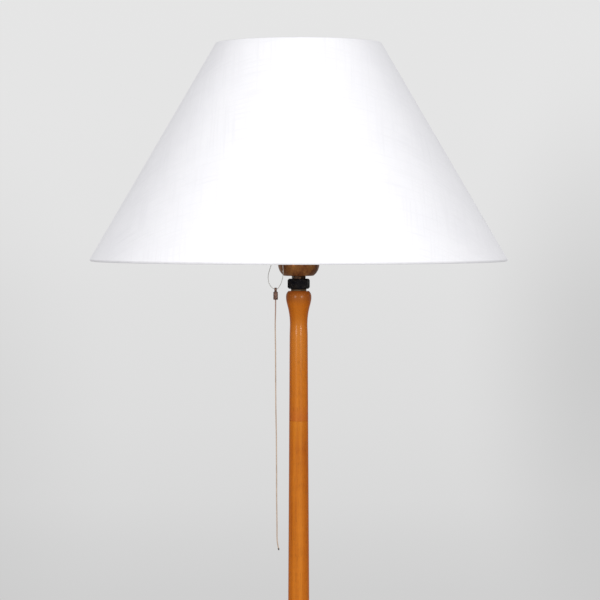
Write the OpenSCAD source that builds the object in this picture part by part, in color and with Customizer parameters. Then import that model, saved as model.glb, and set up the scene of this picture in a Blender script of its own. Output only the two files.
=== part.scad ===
// Candlestick floor lamp: a turned wooden pole in three sections on a round weighted foot,
// a pull-switch lampholder and a tapered linen shade that rests on a wire carrier.
// Origin: centre of the underside, on the floor. +Z is up, -Y is the front.

/* [Foot] */
// Diameter of the wooden foot
foot_d = 280; // [240:5:340]
// Height of the foot from its underside to the pole's seat
foot_h = 42; // [40:1:60]
// Height of the foot's edge
foot_edge_h = 30; // [28:1:34]
// Radius of the foot's rounded top edge
foot_round = 10; // [4:0.5:11]
// Diameter of the foot's hub at the pole's seat
hub_d = 40; // [36:1:56]
// Thickness of the felt pad
felt_t = 2; // [1:0.5:4]
// Distance from the felt's rim to the foot's edge
felt_margin = 7; // [3:1:20]
// Diameter of the access hole in the felt
felt_hole_d = 60; // [56:1:80]

/* [Ballast] */
// Diameter of the cast ballast disc
weight_d = 200; // [180:5:220]
// Thickness of the ballast disc
weight_h = 12; // [8:1:12]
// Diameter of the hole in the middle of the ballast
weight_hole_d = 52; // [48:1:60]
// Diameter of the circle that the ballast screws lie on
screw_circle_d = 150; // [110:5:165]
// Number of ballast screws
screw_count = 3; // [3:1:6]
// Shank diameter of a ballast screw
screw_d = 5; // [4:0.5:6]
// Head diameter of a ballast screw
screw_head_d = 10; // [8:0.5:12]
// Length of a ballast screw
screw_len = 22; // [18:1:24]
// Diameter of the washer under the foot
washer_d = 38; // [24:1:40]
// Thickness of the washer
washer_t = 2; // [1:0.5:3]
// Width across flats of the nut under the foot
foot_nut_af = 17; // [14:1:19]
// Thickness of the nut under the foot
foot_nut_h = 6; // [4:0.5:8]
// Thickness of wood between the washer and the pole's seat
hub_web = 20; // [15:1:22]

/* [Cord outlet] */
// Bore of the outlet bushing
outlet_bore_d = 7; // [5:0.5:8]
// Wall of the outlet bushing
outlet_wall = 1; // [0.8:0.1:1.5]
// Length of the outlet bushing
outlet_len = 16; // [12:1:24]
// Flange diameter of the outlet bushing
outlet_flange_d = 13; // [12:0.5:15]
// Flange thickness of the outlet bushing
outlet_flange_t = 2; // [1:0.5:2.5]
// Height of the outlet above the foot's underside
outlet_h = 18; // [17.5:0.5:19]

/* [Pole] */
// Length of the lower section of the pole
lower_len = 471; // [300:1:600]
// Length of the middle section of the pole
middle_len = 477; // [300:1:600]
// Length of the top section of the pole
top_len = 140.6; // [130:0.2:220]
// Diameter of the pole where its top section begins
pole_d = 20.7; // [20:0.1:28]
// Growth of the pole's diameter over 100 mm, downwards
pole_taper = 1.136; // [0.8:0.02:1.4]
// Diameter of the neck at the very top
neck_d = 22.2; // [19:0.2:25]
// Diameter of the swelling below the neck
swell_d = 27.6; // [26:0.2:34]
// Depth of the swelling's widest place below the top
swell_drop = 6.9; // [5:0.1:9]
// Diameter of the waist below the swelling
waist_d = 19; // [18:0.2:22]
// Depth of the waist below the top
waist_drop = 35.9; // [30:0.1:45]
// Length over which the waist runs out into the straight taper
waist_run = 13.2; // [8:0.1:20]
// Rounding of each section's end edge
edge_break = 0.4; // [0.2:0.1:0.8]
// Bore through the pole for the flex
flex_bore_d = 8; // [7.5:0.1:9]

/* [Joint hardware] */
// Outside diameter of the threaded tubes
tube_d = 10; // [9.6:0.1:10.4]
// Bore of the threaded tubes
tube_bore_d = 7; // [6:0.1:7.6]
// Length of the tube in each pole joint
joint_tube_len = 56; // [54:1:80]
// Length of the tube inside the foot of the pole
base_grip = 34; // [28:1:50]
// Outside diameter of the threaded inserts
insert_d = 14; // [13:0.1:15]
// Length of the threaded inserts
insert_len = 24; // [15:1:26]
// Length of the nipple inside the top of the pole
nipple_grip = 28; // [18:1:40]

/* [Collar] */
// Diameter of the collar's flange
flange_d = 16.8; // [14:0.2:20]
// Thickness of the collar's flange
flange_t = 2.4; // [1.5:0.1:4]
// Width across flats of the collar
collar_af = 21.6; // [18:0.2:25]
// Height of the collar above its flange
collar_h = 10.8; // [8:0.1:14]
// Chamfer of the collar's corners
collar_chamfer = 1.7; // [0.5:0.1:2.5]
// Width across flats of the lock nut
lock_nut_af = 13.6; // [12:0.1:15]
// Thickness of the lock nut
lock_nut_h = 3.2; // [2.5:0.1:5]

/* [Lampholder] */
// Diameter of the cup
cup_d = 44.6; // [44.2:0.2:48]
// Height of the cup
cup_h = 17; // [14:0.5:17.5]
// Height at which the cup's rounded side turns upright
cup_shoulder_h = 12.5; // [11:0.1:13.5]
// Radius of the cup's rounded side
cup_round = 15.3; // [14:0.1:17]
// Sheet thickness of the cup and the skirt
sheet_t = 0.8; // [0.5:0.1:1]
// Height of the threaded boss inside the cup
boss_h = 7; // [5:0.5:9]
// Height of the skirt above the cup
skirt_h = 47; // [46:0.5:54]
// Height of the skirt's wide part above the cup
skirt_wide_h = 24; // [21:0.5:25]
// Diameter of the skirt's threaded part
thread_d = 39.8; // [39:0.1:40.4]
// Height of the porcelain block
block_h = 24; // [23:0.5:25]
// Diameter of the terminal screws
terminal_d = 4; // [3:0.5:5]

/* [Shade rings] */
// Flange diameter of a shade ring
shade_ring_d = 56; // [50:1:64]
// Flange thickness of a shade ring
shade_ring_t = 1.6; // [1.2:0.1:2.5]
// Height of a shade ring's grip
shade_ring_grip = 4; // [3:0.5:6]
// Height of the lower shade ring's top face above the cup
shade_ring_rise = 35; // [32:0.5:38]

/* [Bulb] */
// Diameter of the bulb's cap
cap_d = 26.2; // [25.8:0.1:26.5]
// Height of the bulb's cap
cap_h = 24; // [22:0.5:26]
// Diameter of the bulb's glass
glass_d = 60; // [50:1:64]
// Length of the bulb
bulb_len = 105; // [96:1:115]
// Thickness of the bulb's glass
glass_t = 0.8; // [0.6:0.1:1.2]

/* [Carrier] */
// Thickness of the carrier's lower ring
carrier_t = 1.5; // [1:0.1:2.5]
// Height of the carrier
carrier_h = 171.5; // [160:0.5:190]
// Wire diameter of the carrier
carrier_wire_d = 3; // [2.4:0.1:4]
// Number of wires in the carrier
carrier_wires_n = 3; // [3:1:4]
// Outside diameter of the carrier's lower ring
carrier_low_d = 64; // [60:1:70]
// Diameter of the carrier at its elbows
carrier_elbow_d = 86; // [82:1:94]
// Mean diameter of the carrier's upper ring
carrier_top_d = 100; // [96:1:104]
// Width of the carrier's upper ring
carrier_top_w = 8; // [6:0.5:10]
// Thickness of the carrier's upper ring
carrier_top_t = 2; // [1.5:0.1:3]

/* [Shade] */
// Outside diameter of the shade at the bottom
shade_bottom_d = 450; // [360:5:520]
// Outside diameter of the shade at the top
shade_top_d = 180; // [160:2:220]
// Height of the shade
shade_h = 234.5; // [200:0.5:260]
// Depth of the spider's ring below the shade's top
spider_drop = 25.2; // [18:0.2:40]
// Thickness of the linen cover
cover_t = 0.4; // [0.3:0.1:0.8]
// Thickness of the stiff liner
liner_t = 0.8; // [0.5:0.1:1.5]
// Wire diameter of the shade's rings and spokes
ring_wire_d = 2.4; // [2:0.1:3.5]
// Thickness of the linen rolled round the rings
roll_t = 0.35; // [0.3:0.05:0.6]
// Number of spokes in the spider
spoke_n = 3; // [3:1:4]
// Width of the spider's ring
spider_ring_w = 12; // [8:0.5:14]
// Thickness of the spider's ring
spider_ring_t = 1.5; // [1:0.1:2.5]
// Depth of the spider ring's lip inside the carrier
spider_lip = 7; // [4:0.5:10]

/* [Pull switch] */
// Sideways distance of the crank from the lamp's axis
crank_side = 23.5; // [23.5:0.1:26]
// Length of the crank from its shaft to its eye
crank_len = 18; // [16:0.5:20]
// Angle of the crank above the horizontal at rest
crank_rest = 10; // [5:1:12]
// Width of the crank's arm
crank_w = 4.4; // [4:0.1:6]
// Thickness of the crank
crank_t = 1.2; // [0.8:0.1:1.4]
// Hole in the crank's eye
eye_hole_d = 2.4; // [2.2:0.1:2.8]
// Diameter of the switch shaft
shaft_d = 4; // [3:0.5:4.5]
// Height of the switch shaft above the cup
shaft_rise = 5.9; // [5:0.1:7]
// Diameter of the switch rotor
rotor_d = 14; // [11:0.5:14.5]

/* [Pull cord] */
// Thickness of the loop's wire
loop_wire_d = 0.8; // [0.5:0.1:0.9]
// Diameter of the ferrule's body
ferrule_d = 5.2; // [4:0.1:7]
// Height of the ferrule's ribbed body
ferrule_h = 9; // [7:0.5:12]
// Width of the ferrule's eye
ferrule_eye_w = 2.8; // [2:0.1:3]
// Thickness of the pull cord
cord_d = 1.4; // [1:0.1:1.8]

/* [Hidden] */
$fn = 96;

// Gaps, in millimetres: between threads, between laid-together pieces, and at a bearing.
thread_gap = 0.05;
lay_gap = 0.2;
run_gap = 0.05;
seat_gap = 0.3;
// How far a cutting shape runs past the face that it cuts.
over = 1;

// Heights of the stack, from the floor up.
foot_z = felt_t;
pole_z = foot_z + foot_h;
lower_joint_z = pole_z + lower_len;
upper_joint_z = lower_joint_z + middle_len;
collar_z = upper_joint_z + top_len;
collar_body_z = collar_z + flange_t;
lock_nut_z = collar_body_z + collar_h;
cup_z = lock_nut_z + lock_nut_h;
cup_rim_z = cup_z + cup_h;
skirt_z = cup_z + cup_shoulder_h + lay_gap;
skirt_step_z = cup_rim_z + skirt_wide_h;
skirt_top_z = cup_rim_z + skirt_h;
shaft_z = cup_rim_z + shaft_rise;

// The porcelain block hangs under the skirt's ledge.
skirt_r = cup_d / 2 - sheet_t - thread_gap;
block_r = skirt_r - sheet_t - thread_gap;
ledge_drop = 5;
ledge_z = skirt_step_z - sheet_t - ledge_drop;
block_z = ledge_z - block_h;
pocket_margin = 1.5;
pocket_top_z = shaft_z + rotor_d / 2 + pocket_margin;
pocket_half = rotor_d / 2 + pocket_margin;
pocket_x0 = -13;
pocket_x1 = 5;

// Bulb and its contacts, which stand on the block.
contact_t = 0.6;
contact_rise = 3;
shell_t = 0.5;
shell_gap = 0.5;
shell_r = cap_d / 2 + shell_gap;
shell_h = 23;
tip_z = ledge_z + contact_rise;
tip_h = 1.2;
insulator_h = 3.2;
cap_z = tip_z + tip_h + insulator_h;
glass_z = cap_z + cap_h;
bulb_top_z = tip_z + bulb_len;

// The carrier is clamped between the two shade rings.
carrier_z = cup_rim_z + shade_ring_rise;
carrier_top_z = carrier_z + carrier_t + carrier_h;
low_wire_r = carrier_low_d / 2 - carrier_wire_d;
spider_z = carrier_top_z + seat_gap;

// The shade hangs from the spider's ring. Its two beads are the linen rolled round the rings.
shade_top_z = spider_z + spider_drop;
shade_z = shade_top_z - shade_h;
bead_r = ring_wire_d / 2 + roll_t + run_gap;
low_bead = [shade_bottom_d / 2 - bead_r, shade_z + bead_r];
top_bead = [shade_top_d / 2 - bead_r, shade_top_z - bead_r];
slant = norm(top_bead - low_bead);
lean = atan2(low_bead[0] - top_bead[0], top_bead[1] - low_bead[1]);

// Spokes run from the spider's ring up to the top ring.
spoke_in = [carrier_top_d / 2, spider_z + spider_ring_t / 2 + ring_wire_d / 2];
spoke_reach = norm(top_bead - spoke_in) - ring_wire_d / 2 - run_gap;
spoke_tilt = atan2(top_bead[0] - spoke_in[0], top_bead[1] - spoke_in[1]);

// The eye of the crank, and what hangs from it.
eye_y = -crank_len * cos(crank_rest);
eye_z = shaft_z + crank_len * sin(crank_rest);
eye_r = crank_w / 2;
loop_sag = eye_hole_d / 2 - loop_wire_d / 2 - seat_gap;
ferrule_hole_gap = 0.6;
ferrule_eye_wall = 0.9;
ferrule_hole_r = loop_wire_d / 2 + ferrule_hole_gap;
ferrule_eye_r = ferrule_hole_r + ferrule_eye_wall;
ferrule_neck = 2.4;

// Points of the wire loop, sideways and up from the crank's eye.
loop_points = [
    [0, 0], [-1.6, -0.7], [-3.2, -3.5], [-4.8, -8.5], [-6.2, -14], [-8.4, -21],
    [-9.3, -27.5], [-8.2, -33.5], [-5.4, -37.6], [-2.8, -39.4], [-1.3, -39.5],
    [0.2, -39.4], [2.4, -37.2], [4.9, -32], [6.2, -27], [6.8, -21], [6.5, -14],
    [5.2, -8.5], [3.4, -3.5], [1.6, -0.7]
];
loop_low = loop_points[10];
// The ferrule hangs from the loop's lowest point.
ferrule_x = -crank_side + loop_low[0];
ferrule_eye_z = eye_z - loop_sag + loop_low[1] - (ferrule_hole_r - loop_wire_d / 2 - seat_gap);
ferrule_z = ferrule_eye_z - ferrule_neck;
ferrule_low_z = ferrule_z - ferrule_h;
cord_socket = 5;
// Points of the pull cord below the ferrule's lower face.
cord_points = [
    [0, 0, 4], [0, 0, -2], [-0.1, 0, -12], [-0.4, 0, -26], [-0.3, 0, -40], [-0.1, 0, -55],
    [0, 0, -75], [0.1, 0, -95], [0.2, 0, -115], [0.5, 0, -132], [0.8, 0, -150],
    [0.9, 0, -170], [1, 0, -190], [1, 0, -210], [1.2, 0, -228], [1.4, 0, -244],
    [1.4, 0, -256], [1.9, 0, -262], [3, 0, -268]
];
cord_tip_h = 1.8;
cord_tip_wrap = 0.2;

// ---- Helpers ----

// A smooth curve through the points a and b with the slopes at both.
function ease(a, b, sa, sb, t) =
    (2 * t ^ 3 - 3 * t ^ 2 + 1) * a + (t ^ 3 - 2 * t ^ 2 + t) * sa
    + (3 * t ^ 2 - 2 * t ^ 3) * b + (t ^ 3 - t ^ 2) * sb;

// Outline points through knots [z, r, slope], with n steps between knots.
function turned(knots, n) = [
    for (i = [0:len(knots) - 2])
        for (k = [0:n - 1])
            let (a = knots[i], b = knots[i + 1], t = k / n, d = b[0] - a[0])
                [ease(a[1], b[1], a[2] * d, b[2] * d, t), a[0] + d * t],
    [knots[len(knots) - 1][1], knots[len(knots) - 1][0]]
];

// A point on the smooth curve through points a, b, c and d, between b and c.
function through(a, b, c, d, t) =
    0.5 * (2 * b + (c - a) * t + (2 * a - 5 * b + 4 * c - d) * t ^ 2
    + (3 * b - a - 3 * c + d) * t ^ 3);

function smooth_open(p, n) = [
    for (i = [0:len(p) - 2])
        for (k = [0:n - 1])
            through(p[max(i - 1, 0)], p[i], p[i + 1], p[min(i + 2, len(p) - 1)], k / n),
    p[len(p) - 1]
];

function smooth_closed(p, n) = [
    for (i = [0:len(p) - 1])
        for (k = [0:n - 1])
            through(
                p[(i + len(p) - 1) % len(p)], p[i], p[(i + 1) % len(p)], p[(i + 2) % len(p)],
                k / n
            )
];

function unit(v) = v / norm(v);

// A path of straight runs whose corners are bent over q on both sides, in n steps.
function bent(p, q, n) = [
    p[0],
    for (i = [1:len(p) - 2])
        let (a = p[i] + q * unit(p[i - 1] - p[i]), b = p[i] + q * unit(p[i + 1] - p[i]))
            for (k = [0:n])
                let (t = k / n) (1 - t) ^ 2 * a + 2 * t * (1 - t) * p[i] + t ^ 2 * b,
    p[len(p) - 1]
];

// Rings of points round a path that lies in planes parallel to XZ.
function ring_points(path, r, sides, closed) = [
    for (i = [0:len(path) - 1])
        let (
            last = len(path) - 1,
            before = path[closed ? (i + last) % (last + 1) : max(i - 1, 0)],
            after = path[closed ? (i + 1) % (last + 1) : min(i + 1, last)],
            along = unit(after - before),
            side = [0, 1, 0],
            up = cross(along, side)
        )
            for (k = [0:sides - 1])
                path[i] + r * (cos(360 * k / sides) * side + sin(360 * k / sides) * up)
];

function tube_walls(rings, sides, closed) = [
    for (i = [0:rings - (closed ? 1 : 2)])
        for (k = [0:sides - 1])
            let (
                a = i * sides + k,
                b = i * sides + (k + 1) % sides,
                c = ((i + 1) % rings) * sides + (k + 1) % sides,
                d = ((i + 1) % rings) * sides + k
            )
                each [[a, b, c], [a, c, d]]
];

function tube_caps(rings, sides) = [
    for (k = [1:sides - 2]) [0, k + 1, k],
    for (k = [1:sides - 2]) let (f = (rings - 1) * sides) [f, f + k, f + k + 1]
];

module swept_open(path, d, sides) {
    polyhedron(
        ring_points(path, d / 2, sides, false),
        concat(tube_walls(len(path), sides, false), tube_caps(len(path), sides))
    );
}

module swept_closed(path, d, sides) {
    polyhedron(ring_points(path, d / 2, sides, true), tube_walls(len(path), sides, true));
}

module pipe(r_out, r_in, h) {
    difference() {
        cylinder(r = r_out, h = h);
        translate([0, 0, -over]) cylinder(r = r_in, h = h + 2 * over);
    }
}

// A hexagonal nut with chamfered corners on both faces.
module hex_nut(af, h, bore_r, chamfer) {
    corner_r = af / 2 / cos(30);
    difference() {
        intersection() {
            cylinder(r = corner_r, h = h, $fn = 6);
            rotate_extrude() polygon([
                [0, 0], [corner_r - chamfer, 0], [corner_r, chamfer],
                [corner_r, h - chamfer], [corner_r - chamfer, h], [0, h]
            ]);
        }
        translate([0, 0, -over]) cylinder(r = bore_r, h = h + 2 * over);
    }
}

module threaded_tube(z0, z1) {
    translate([0, 0, z0]) pipe(tube_d / 2, tube_bore_d / 2, z1 - z0);
}

// ---- Foot ----

weight_r = weight_d / 2;
weight_pocket_h = weight_h + lay_gap;
washer_z = pole_z - hub_web - washer_t;
nut_z = washer_z - foot_nut_h;
tube_past_nut = 1;
base_tube_z = nut_z - tube_past_nut;
screw_head_h = (screw_head_d - screw_d) / 2;
screw_sink = 0.5;
screw_z = foot_z + screw_sink;
screw_slot_w = 1.2;
screw_slot_depth = 1.4;
outlet_z = foot_z + outlet_h;
outlet_r = outlet_bore_d / 2 + outlet_wall;
outlet_y = foot_d / 2 - outlet_flange_t;

module base_felt() {
    color("darkolivegreen") pipe(foot_d / 2 - felt_margin, felt_hole_d / 2, felt_t);
}

module at_screws() {
    for (i = [0:screw_count - 1])
        rotate([0, 0, 360 * i / screw_count + 90]) translate([screw_circle_d / 2, 0, screw_z]) children();
}

module screw_form(gap) {
    rotate_extrude() polygon([
        [0, 0], [screw_head_d / 2 + gap, 0], [screw_d / 2 + gap, screw_head_h],
        [screw_d / 2 + gap, screw_len + gap], [0, screw_len + gap]
    ]);
}

module weight_screws() {
    color("silver") at_screws() difference() {
        screw_form(0);
        translate([-screw_head_d, -screw_slot_w / 2, -over])
            cube([2 * screw_head_d, screw_slot_w, over + screw_slot_depth]);
    }
}

module screw_holes() {
    at_screws() {
        screw_form(thread_gap);
        translate([0, 0, -over]) cylinder(r = screw_head_d / 2 + thread_gap, h = over);
    }
}

module base_weight() {
    color("dimgray") difference() {
        translate([0, 0, foot_z]) pipe(weight_r, weight_hole_d / 2, weight_h);
        screw_holes();
    }
}

// The foot's outline, with r first: an upright edge, a rounding, a dome and a cove to the hub.
foot_r = foot_d / 2;
dome_r = foot_r - foot_round;
hub_r = hub_d / 2;
cove_w = 18;
cove_r = hub_r + cove_w;
dome_rise = 3;
cove_top_slope = 1.5 * (foot_h - foot_edge_h);
foot_chamfer = 2;
function foot_round_points(n) = [
    for (k = [0:n])
        let (a = 90 * k / n)
            [dome_r + foot_round * cos(a), foot_edge_h - foot_round + foot_round * sin(a)]
];
function foot_dome_points(n) = [
    for (k = [1:n])
        let (t = k / n, r = dome_r + (cove_r - dome_r) * t)
            [r, ease(foot_edge_h, foot_edge_h + dome_rise, 0, dome_rise, t)]
];
function foot_cove_points(n) = [
    for (k = [1:n])
        let (t = k / n, r = cove_r + (hub_r - cove_r) * t)
            [r, ease(foot_edge_h + dome_rise, foot_h, dome_rise / 3, cove_top_slope, t)]
];

module base_foot() {
    color("sienna") difference() {
        translate([0, 0, foot_z]) rotate_extrude() polygon(concat(
            [[0, 0], [foot_r - foot_chamfer, 0], [foot_r, foot_chamfer]],
            foot_round_points(8), foot_dome_points(8), foot_cove_points(10), [[0, foot_h]]
        ));
        translate([0, 0, foot_z - over]) cylinder(r = weight_r + lay_gap, h = weight_pocket_h + over);
        translate([0, 0, foot_z]) cylinder(r = washer_d / 2 + lay_gap, h = pole_z - hub_web - foot_z);
        translate([0, 0, foot_z]) cylinder(r = tube_d / 2 + thread_gap, h = foot_h + over);
        screw_holes();
        translate([0, 0, outlet_z]) rotate([-90, 0, 0]) cylinder(r = outlet_r + thread_gap, h = foot_d);
        translate([0, outlet_y, outlet_z]) rotate([-90, 0, 0])
            cylinder(r = outlet_flange_d / 2 + thread_gap, h = foot_d);
    }
}

module foot_washer() {
    color("silver") translate([0, 0, washer_z]) pipe(washer_d / 2, tube_d / 2 + thread_gap, washer_t);
}

foot_nut_chamfer = 1;
module foot_nut() {
    color("silver") translate([0, 0, nut_z])
        hex_nut(foot_nut_af, foot_nut_h, tube_d / 2 + thread_gap, foot_nut_chamfer);
}

module base_tube() {
    color("goldenrod") threaded_tube(base_tube_z, pole_z + base_grip);
}

module cord_bushing() {
    color("black") translate([0, outlet_y + outlet_flange_t, outlet_z]) rotate([90, 0, 0]) {
        pipe(outlet_flange_d / 2, outlet_bore_d / 2, outlet_flange_t);
        translate([0, 0, outlet_flange_t]) pipe(outlet_r, outlet_bore_d / 2, outlet_len - outlet_flange_t);
    }
}

// ---- Pole ----

// Growth of the radius per millimetre, and the radius of the straight taper at a height.
taper_slope = pole_taper / 2 / 100;
function pole_r(z) = pole_d / 2 + (upper_joint_z - z) * taper_slope;

module joint_inserts() {
    color("goldenrod") for (z = [pole_z, lower_joint_z - insert_len, upper_joint_z - insert_len])
        translate([0, 0, z]) pipe(insert_d / 2, tube_d / 2 + thread_gap, insert_len);
}

module insert_hole(z, way) {
    translate([0, 0, z]) scale([1, 1, way]) {
        translate([0, 0, -over]) cylinder(r = insert_d / 2 + thread_gap, h = insert_len + over);
    }
}

// Room for a tube's end, with z0 the lower end.
module tube_hole(z0, z1) {
    translate([0, 0, z0]) cylinder(r = tube_d / 2 + 2 * thread_gap, h = z1 - z0);
}

module flex_hole() {
    translate([0, 0, pole_z - over]) cylinder(r = flex_bore_d / 2, h = collar_z - pole_z + 2 * over);
}

module taper(z0, z1) {
    rotate_extrude() polygon([
        [0, z0], [pole_r(z0) - edge_break, z0], [pole_r(z0), z0 + edge_break],
        [pole_r(z1), z1 - edge_break], [pole_r(z1) - edge_break, z1], [0, z1]
    ]);
}

module pole_lower() {
    color("sienna") difference() {
        taper(pole_z, lower_joint_z);
        flex_hole();
        insert_hole(pole_z, 1);
        tube_hole(pole_z, pole_z + base_grip + over);
        insert_hole(lower_joint_z, -1);
        tube_hole(lower_joint_z - joint_tube_len / 2 - over, lower_joint_z);
    }
}

module lower_joint_tube() {
    color("goldenrod")
        threaded_tube(lower_joint_z - joint_tube_len / 2, lower_joint_z + joint_tube_len / 2);
}

module pole_middle() {
    color("peru") difference() {
        taper(lower_joint_z, upper_joint_z);
        flex_hole();
        tube_hole(lower_joint_z - over, lower_joint_z + joint_tube_len / 2 + over);
        insert_hole(upper_joint_z, -1);
        tube_hole(upper_joint_z - joint_tube_len / 2 - over, upper_joint_z);
    }
}

module upper_joint_tube() {
    color("goldenrod")
        threaded_tube(upper_joint_z - joint_tube_len / 2, upper_joint_z + joint_tube_len / 2);
}

// Knots of the top section: the straight taper, the waist, the flank, the swelling, the neck.
waist_z = collar_z - waist_drop;
swell_z = collar_z - swell_drop;
flank_out = 0.52;
flank_down = 0.37;
flank_slope = 0.25;
neck_slope = -1.1;
flank_r = waist_d / 2 + (swell_d - waist_d) / 2 * flank_out;
flank_z = swell_z - (swell_z - waist_z) * flank_down;
top_knots = [
    [waist_z - waist_run, pole_r(waist_z - waist_run), -taper_slope],
    [waist_z, waist_d / 2, 0],
    [flank_z, flank_r, flank_slope],
    [swell_z, swell_d / 2, 0],
    [collar_z, neck_d / 2, neck_slope]
];

module pole_top() {
    color("sienna") difference() {
        rotate_extrude() polygon(concat(
            [[0, upper_joint_z], [pole_r(upper_joint_z) - edge_break, upper_joint_z]],
            [[pole_r(upper_joint_z), upper_joint_z + edge_break]],
            turned(top_knots, 8), [[0, collar_z]]
        ));
        flex_hole();
        tube_hole(upper_joint_z - over, upper_joint_z + joint_tube_len / 2 + over);
        tube_hole(collar_z - nipple_grip - over, collar_z + over);
    }
}

module top_nipple() {
    color("goldenrod") threaded_tube(collar_z - nipple_grip, cup_z + sheet_t + boss_h);
}

// ---- Collar and lampholder ----

// Turn of the collar's corners about the axis, as seen from the front.
collar_turn = 13.5;

module collar_nut() {
    color("black") translate([0, 0, collar_z]) {
        pipe(flange_d / 2, tube_d / 2 + thread_gap, flange_t);
        translate([0, 0, flange_t]) rotate([0, 0, collar_turn])
            hex_nut(collar_af, collar_h, tube_d / 2 + thread_gap, collar_chamfer);
    }
}

lock_nut_chamfer = 0.5;
module lock_nut() {
    color("peru") translate([0, 0, lock_nut_z]) rotate([0, 0, -collar_turn])
        hex_nut(lock_nut_af, lock_nut_h, tube_d / 2 + thread_gap, lock_nut_chamfer);
}

// Half section of the cup's outside, drawn in by t all round.
module cup_section(t) {
    intersection() {
        translate([cup_d / 2 - cup_round, cup_shoulder_h]) circle(r = cup_round - t);
        translate([0, t]) square([cup_d, cup_shoulder_h - t]);
    }
    translate([0, cup_shoulder_h]) square([cup_d / 2 - t, cup_h - cup_shoulder_h + (t > 0 ? over : 0)]);
}

boss_wall = 2.5;
module holder_cup() {
    color("saddlebrown") translate([0, 0, cup_z]) difference() {
        union() {
            rotate_extrude() difference() {
                cup_section(0);
                cup_section(sheet_t);
            }
            cylinder(r = tube_d / 2 + boss_wall, h = sheet_t + boss_h);
        }
        translate([0, 0, -over]) cylinder(r = tube_d / 2 + thread_gap, h = boss_h + 3 * over);
    }
}

shaft_hole_gap = 0.6;
module holder_skirt() {
    color("saddlebrown") difference() {
        rotate_extrude() polygon([
            [block_r + thread_gap, skirt_z], [skirt_r, skirt_z], [skirt_r, skirt_step_z],
            [thread_d / 2, skirt_step_z], [thread_d / 2, skirt_top_z],
            [thread_d / 2 - sheet_t, skirt_top_z], [thread_d / 2 - sheet_t, ledge_z],
            [block_r + thread_gap, ledge_z]
        ]);
        translate([0, 0, shaft_z]) rotate([0, -90, 0])
            cylinder(r = shaft_d / 2 + shaft_hole_gap, h = cup_d);
    }
}

// The shaft runs on into the block behind the pocket.
shaft_past_pocket = 4;
// Two terminal screws beside the pocket.
terminal_x = pocket_x1 + 5;
terminal_y = 9;
terminal_len = 7;
terminal_head_h = 1.5;
terminal_head_r = terminal_d / 2 + 1;
terminal_slot_w = 0.8;
terminal_slot_depth = 0.8;

module holder_block() {
    color("whitesmoke") difference() {
        translate([0, 0, block_z]) cylinder(r = block_r, h = block_h);
        translate([pocket_x0, -pocket_half, block_z - over])
            cube([pocket_x1 - pocket_x0, 2 * pocket_half, pocket_top_z - block_z + over]);
        translate([-cup_d, 0, shaft_z]) rotate([0, 90, 0])
            cylinder(r = shaft_d / 2 + run_gap, h = cup_d + pocket_x1 + shaft_past_pocket + over);
        at_terminals() translate([0, 0, -over])
            cylinder(r = terminal_d / 2 + thread_gap, h = terminal_len + 2 * over);
    }
}

module at_terminals() {
    for (y = [-1, 1]) translate([terminal_x, y * terminal_y, block_z]) children();
}

module terminal_screws() {
    color("goldenrod") at_terminals() difference() {
        union() {
            cylinder(r = terminal_d / 2, h = terminal_len);
            translate([0, 0, -terminal_head_h]) cylinder(r = terminal_head_r, h = terminal_head_h);
        }
        translate([-terminal_d, -terminal_slot_w / 2, -terminal_head_h - over])
            cube([2 * terminal_d, terminal_slot_w, over + terminal_slot_depth]);
    }
}

skirt_liner_drop = 1;
module skirt_liner() {
    color("black") translate([0, 0, ledge_z]) pipe(
        thread_d / 2 - sheet_t - lay_gap, shell_r + shell_t + lay_gap,
        skirt_top_z - ledge_z - skirt_liner_drop
    );
}

shell_hole_r = 9;
module screw_shell() {
    color("goldenrod") translate([0, 0, ledge_z]) {
        pipe(shell_r + shell_t, shell_r, shell_h);
        pipe(shell_r + shell_t, shell_hole_r, shell_t);
    }
}

contact_len = 14;
contact_w = 5;
module centre_contact() {
    color("goldenrod") translate([0, 0, ledge_z]) {
        translate([-contact_len / 2, -contact_w / 2, 0]) cube([contact_len, contact_w, contact_t]);
        cylinder(r = contact_w / 2, h = contact_rise);
    }
}

// ---- Bulb ----

cap_taper = 3;
cap_t = 0.4;
cap_low_r = cap_d / 2 - cap_taper;
module bulb_cap() {
    color("silver") translate([0, 0, cap_z]) rotate_extrude() polygon([
        [cap_low_r, 0], [cap_d / 2, cap_taper], [cap_d / 2, cap_h],
        [cap_d / 2 - cap_t, cap_h], [cap_d / 2 - cap_t, cap_taper + cap_t / 2], [cap_low_r - cap_t, 0]
    ]);
}

insulator_low_r = 5;
module bulb_insulator() {
    color("black") translate([0, 0, cap_z - insulator_h]) rotate_extrude() polygon([
        [0, 0], [insulator_low_r, 0], [cap_low_r - cap_t - lay_gap, insulator_h], [0, insulator_h]
    ]);
}

tip_r = 4.5;
module bulb_contact() {
    color("silver") translate([0, 0, tip_z]) cylinder(r = tip_r, h = tip_h);
}

// The glass: a neck that flares into a ball. g is the glass's thickness taken off all round.
ball_r = glass_d / 2;
ball_z = bulb_top_z - ball_r;
flare_a = 40;
glass_neck_step = 0.3;
module glass_section(g) {
    r = ball_r - g;
    neck_r = cap_d / 2 + glass_neck_step - g;
    meet_z = ball_z - r * sin(flare_a);
    polygon(concat(
        [[0, glass_z], [neck_r, glass_z]],
        turned([[glass_z, neck_r, 0], [meet_z, r * cos(flare_a), tan(flare_a)]], 10),
        [for (k = [1:24]) let (a = -flare_a + (90 + flare_a) * k / 24) [r * cos(a), ball_z + r * sin(a)]]
    ));
}

module bulb_glass() {
    color("white") rotate_extrude() difference() {
        glass_section(0);
        glass_section(glass_t);
    }
}

// ---- Shade rings and carrier ----

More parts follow.
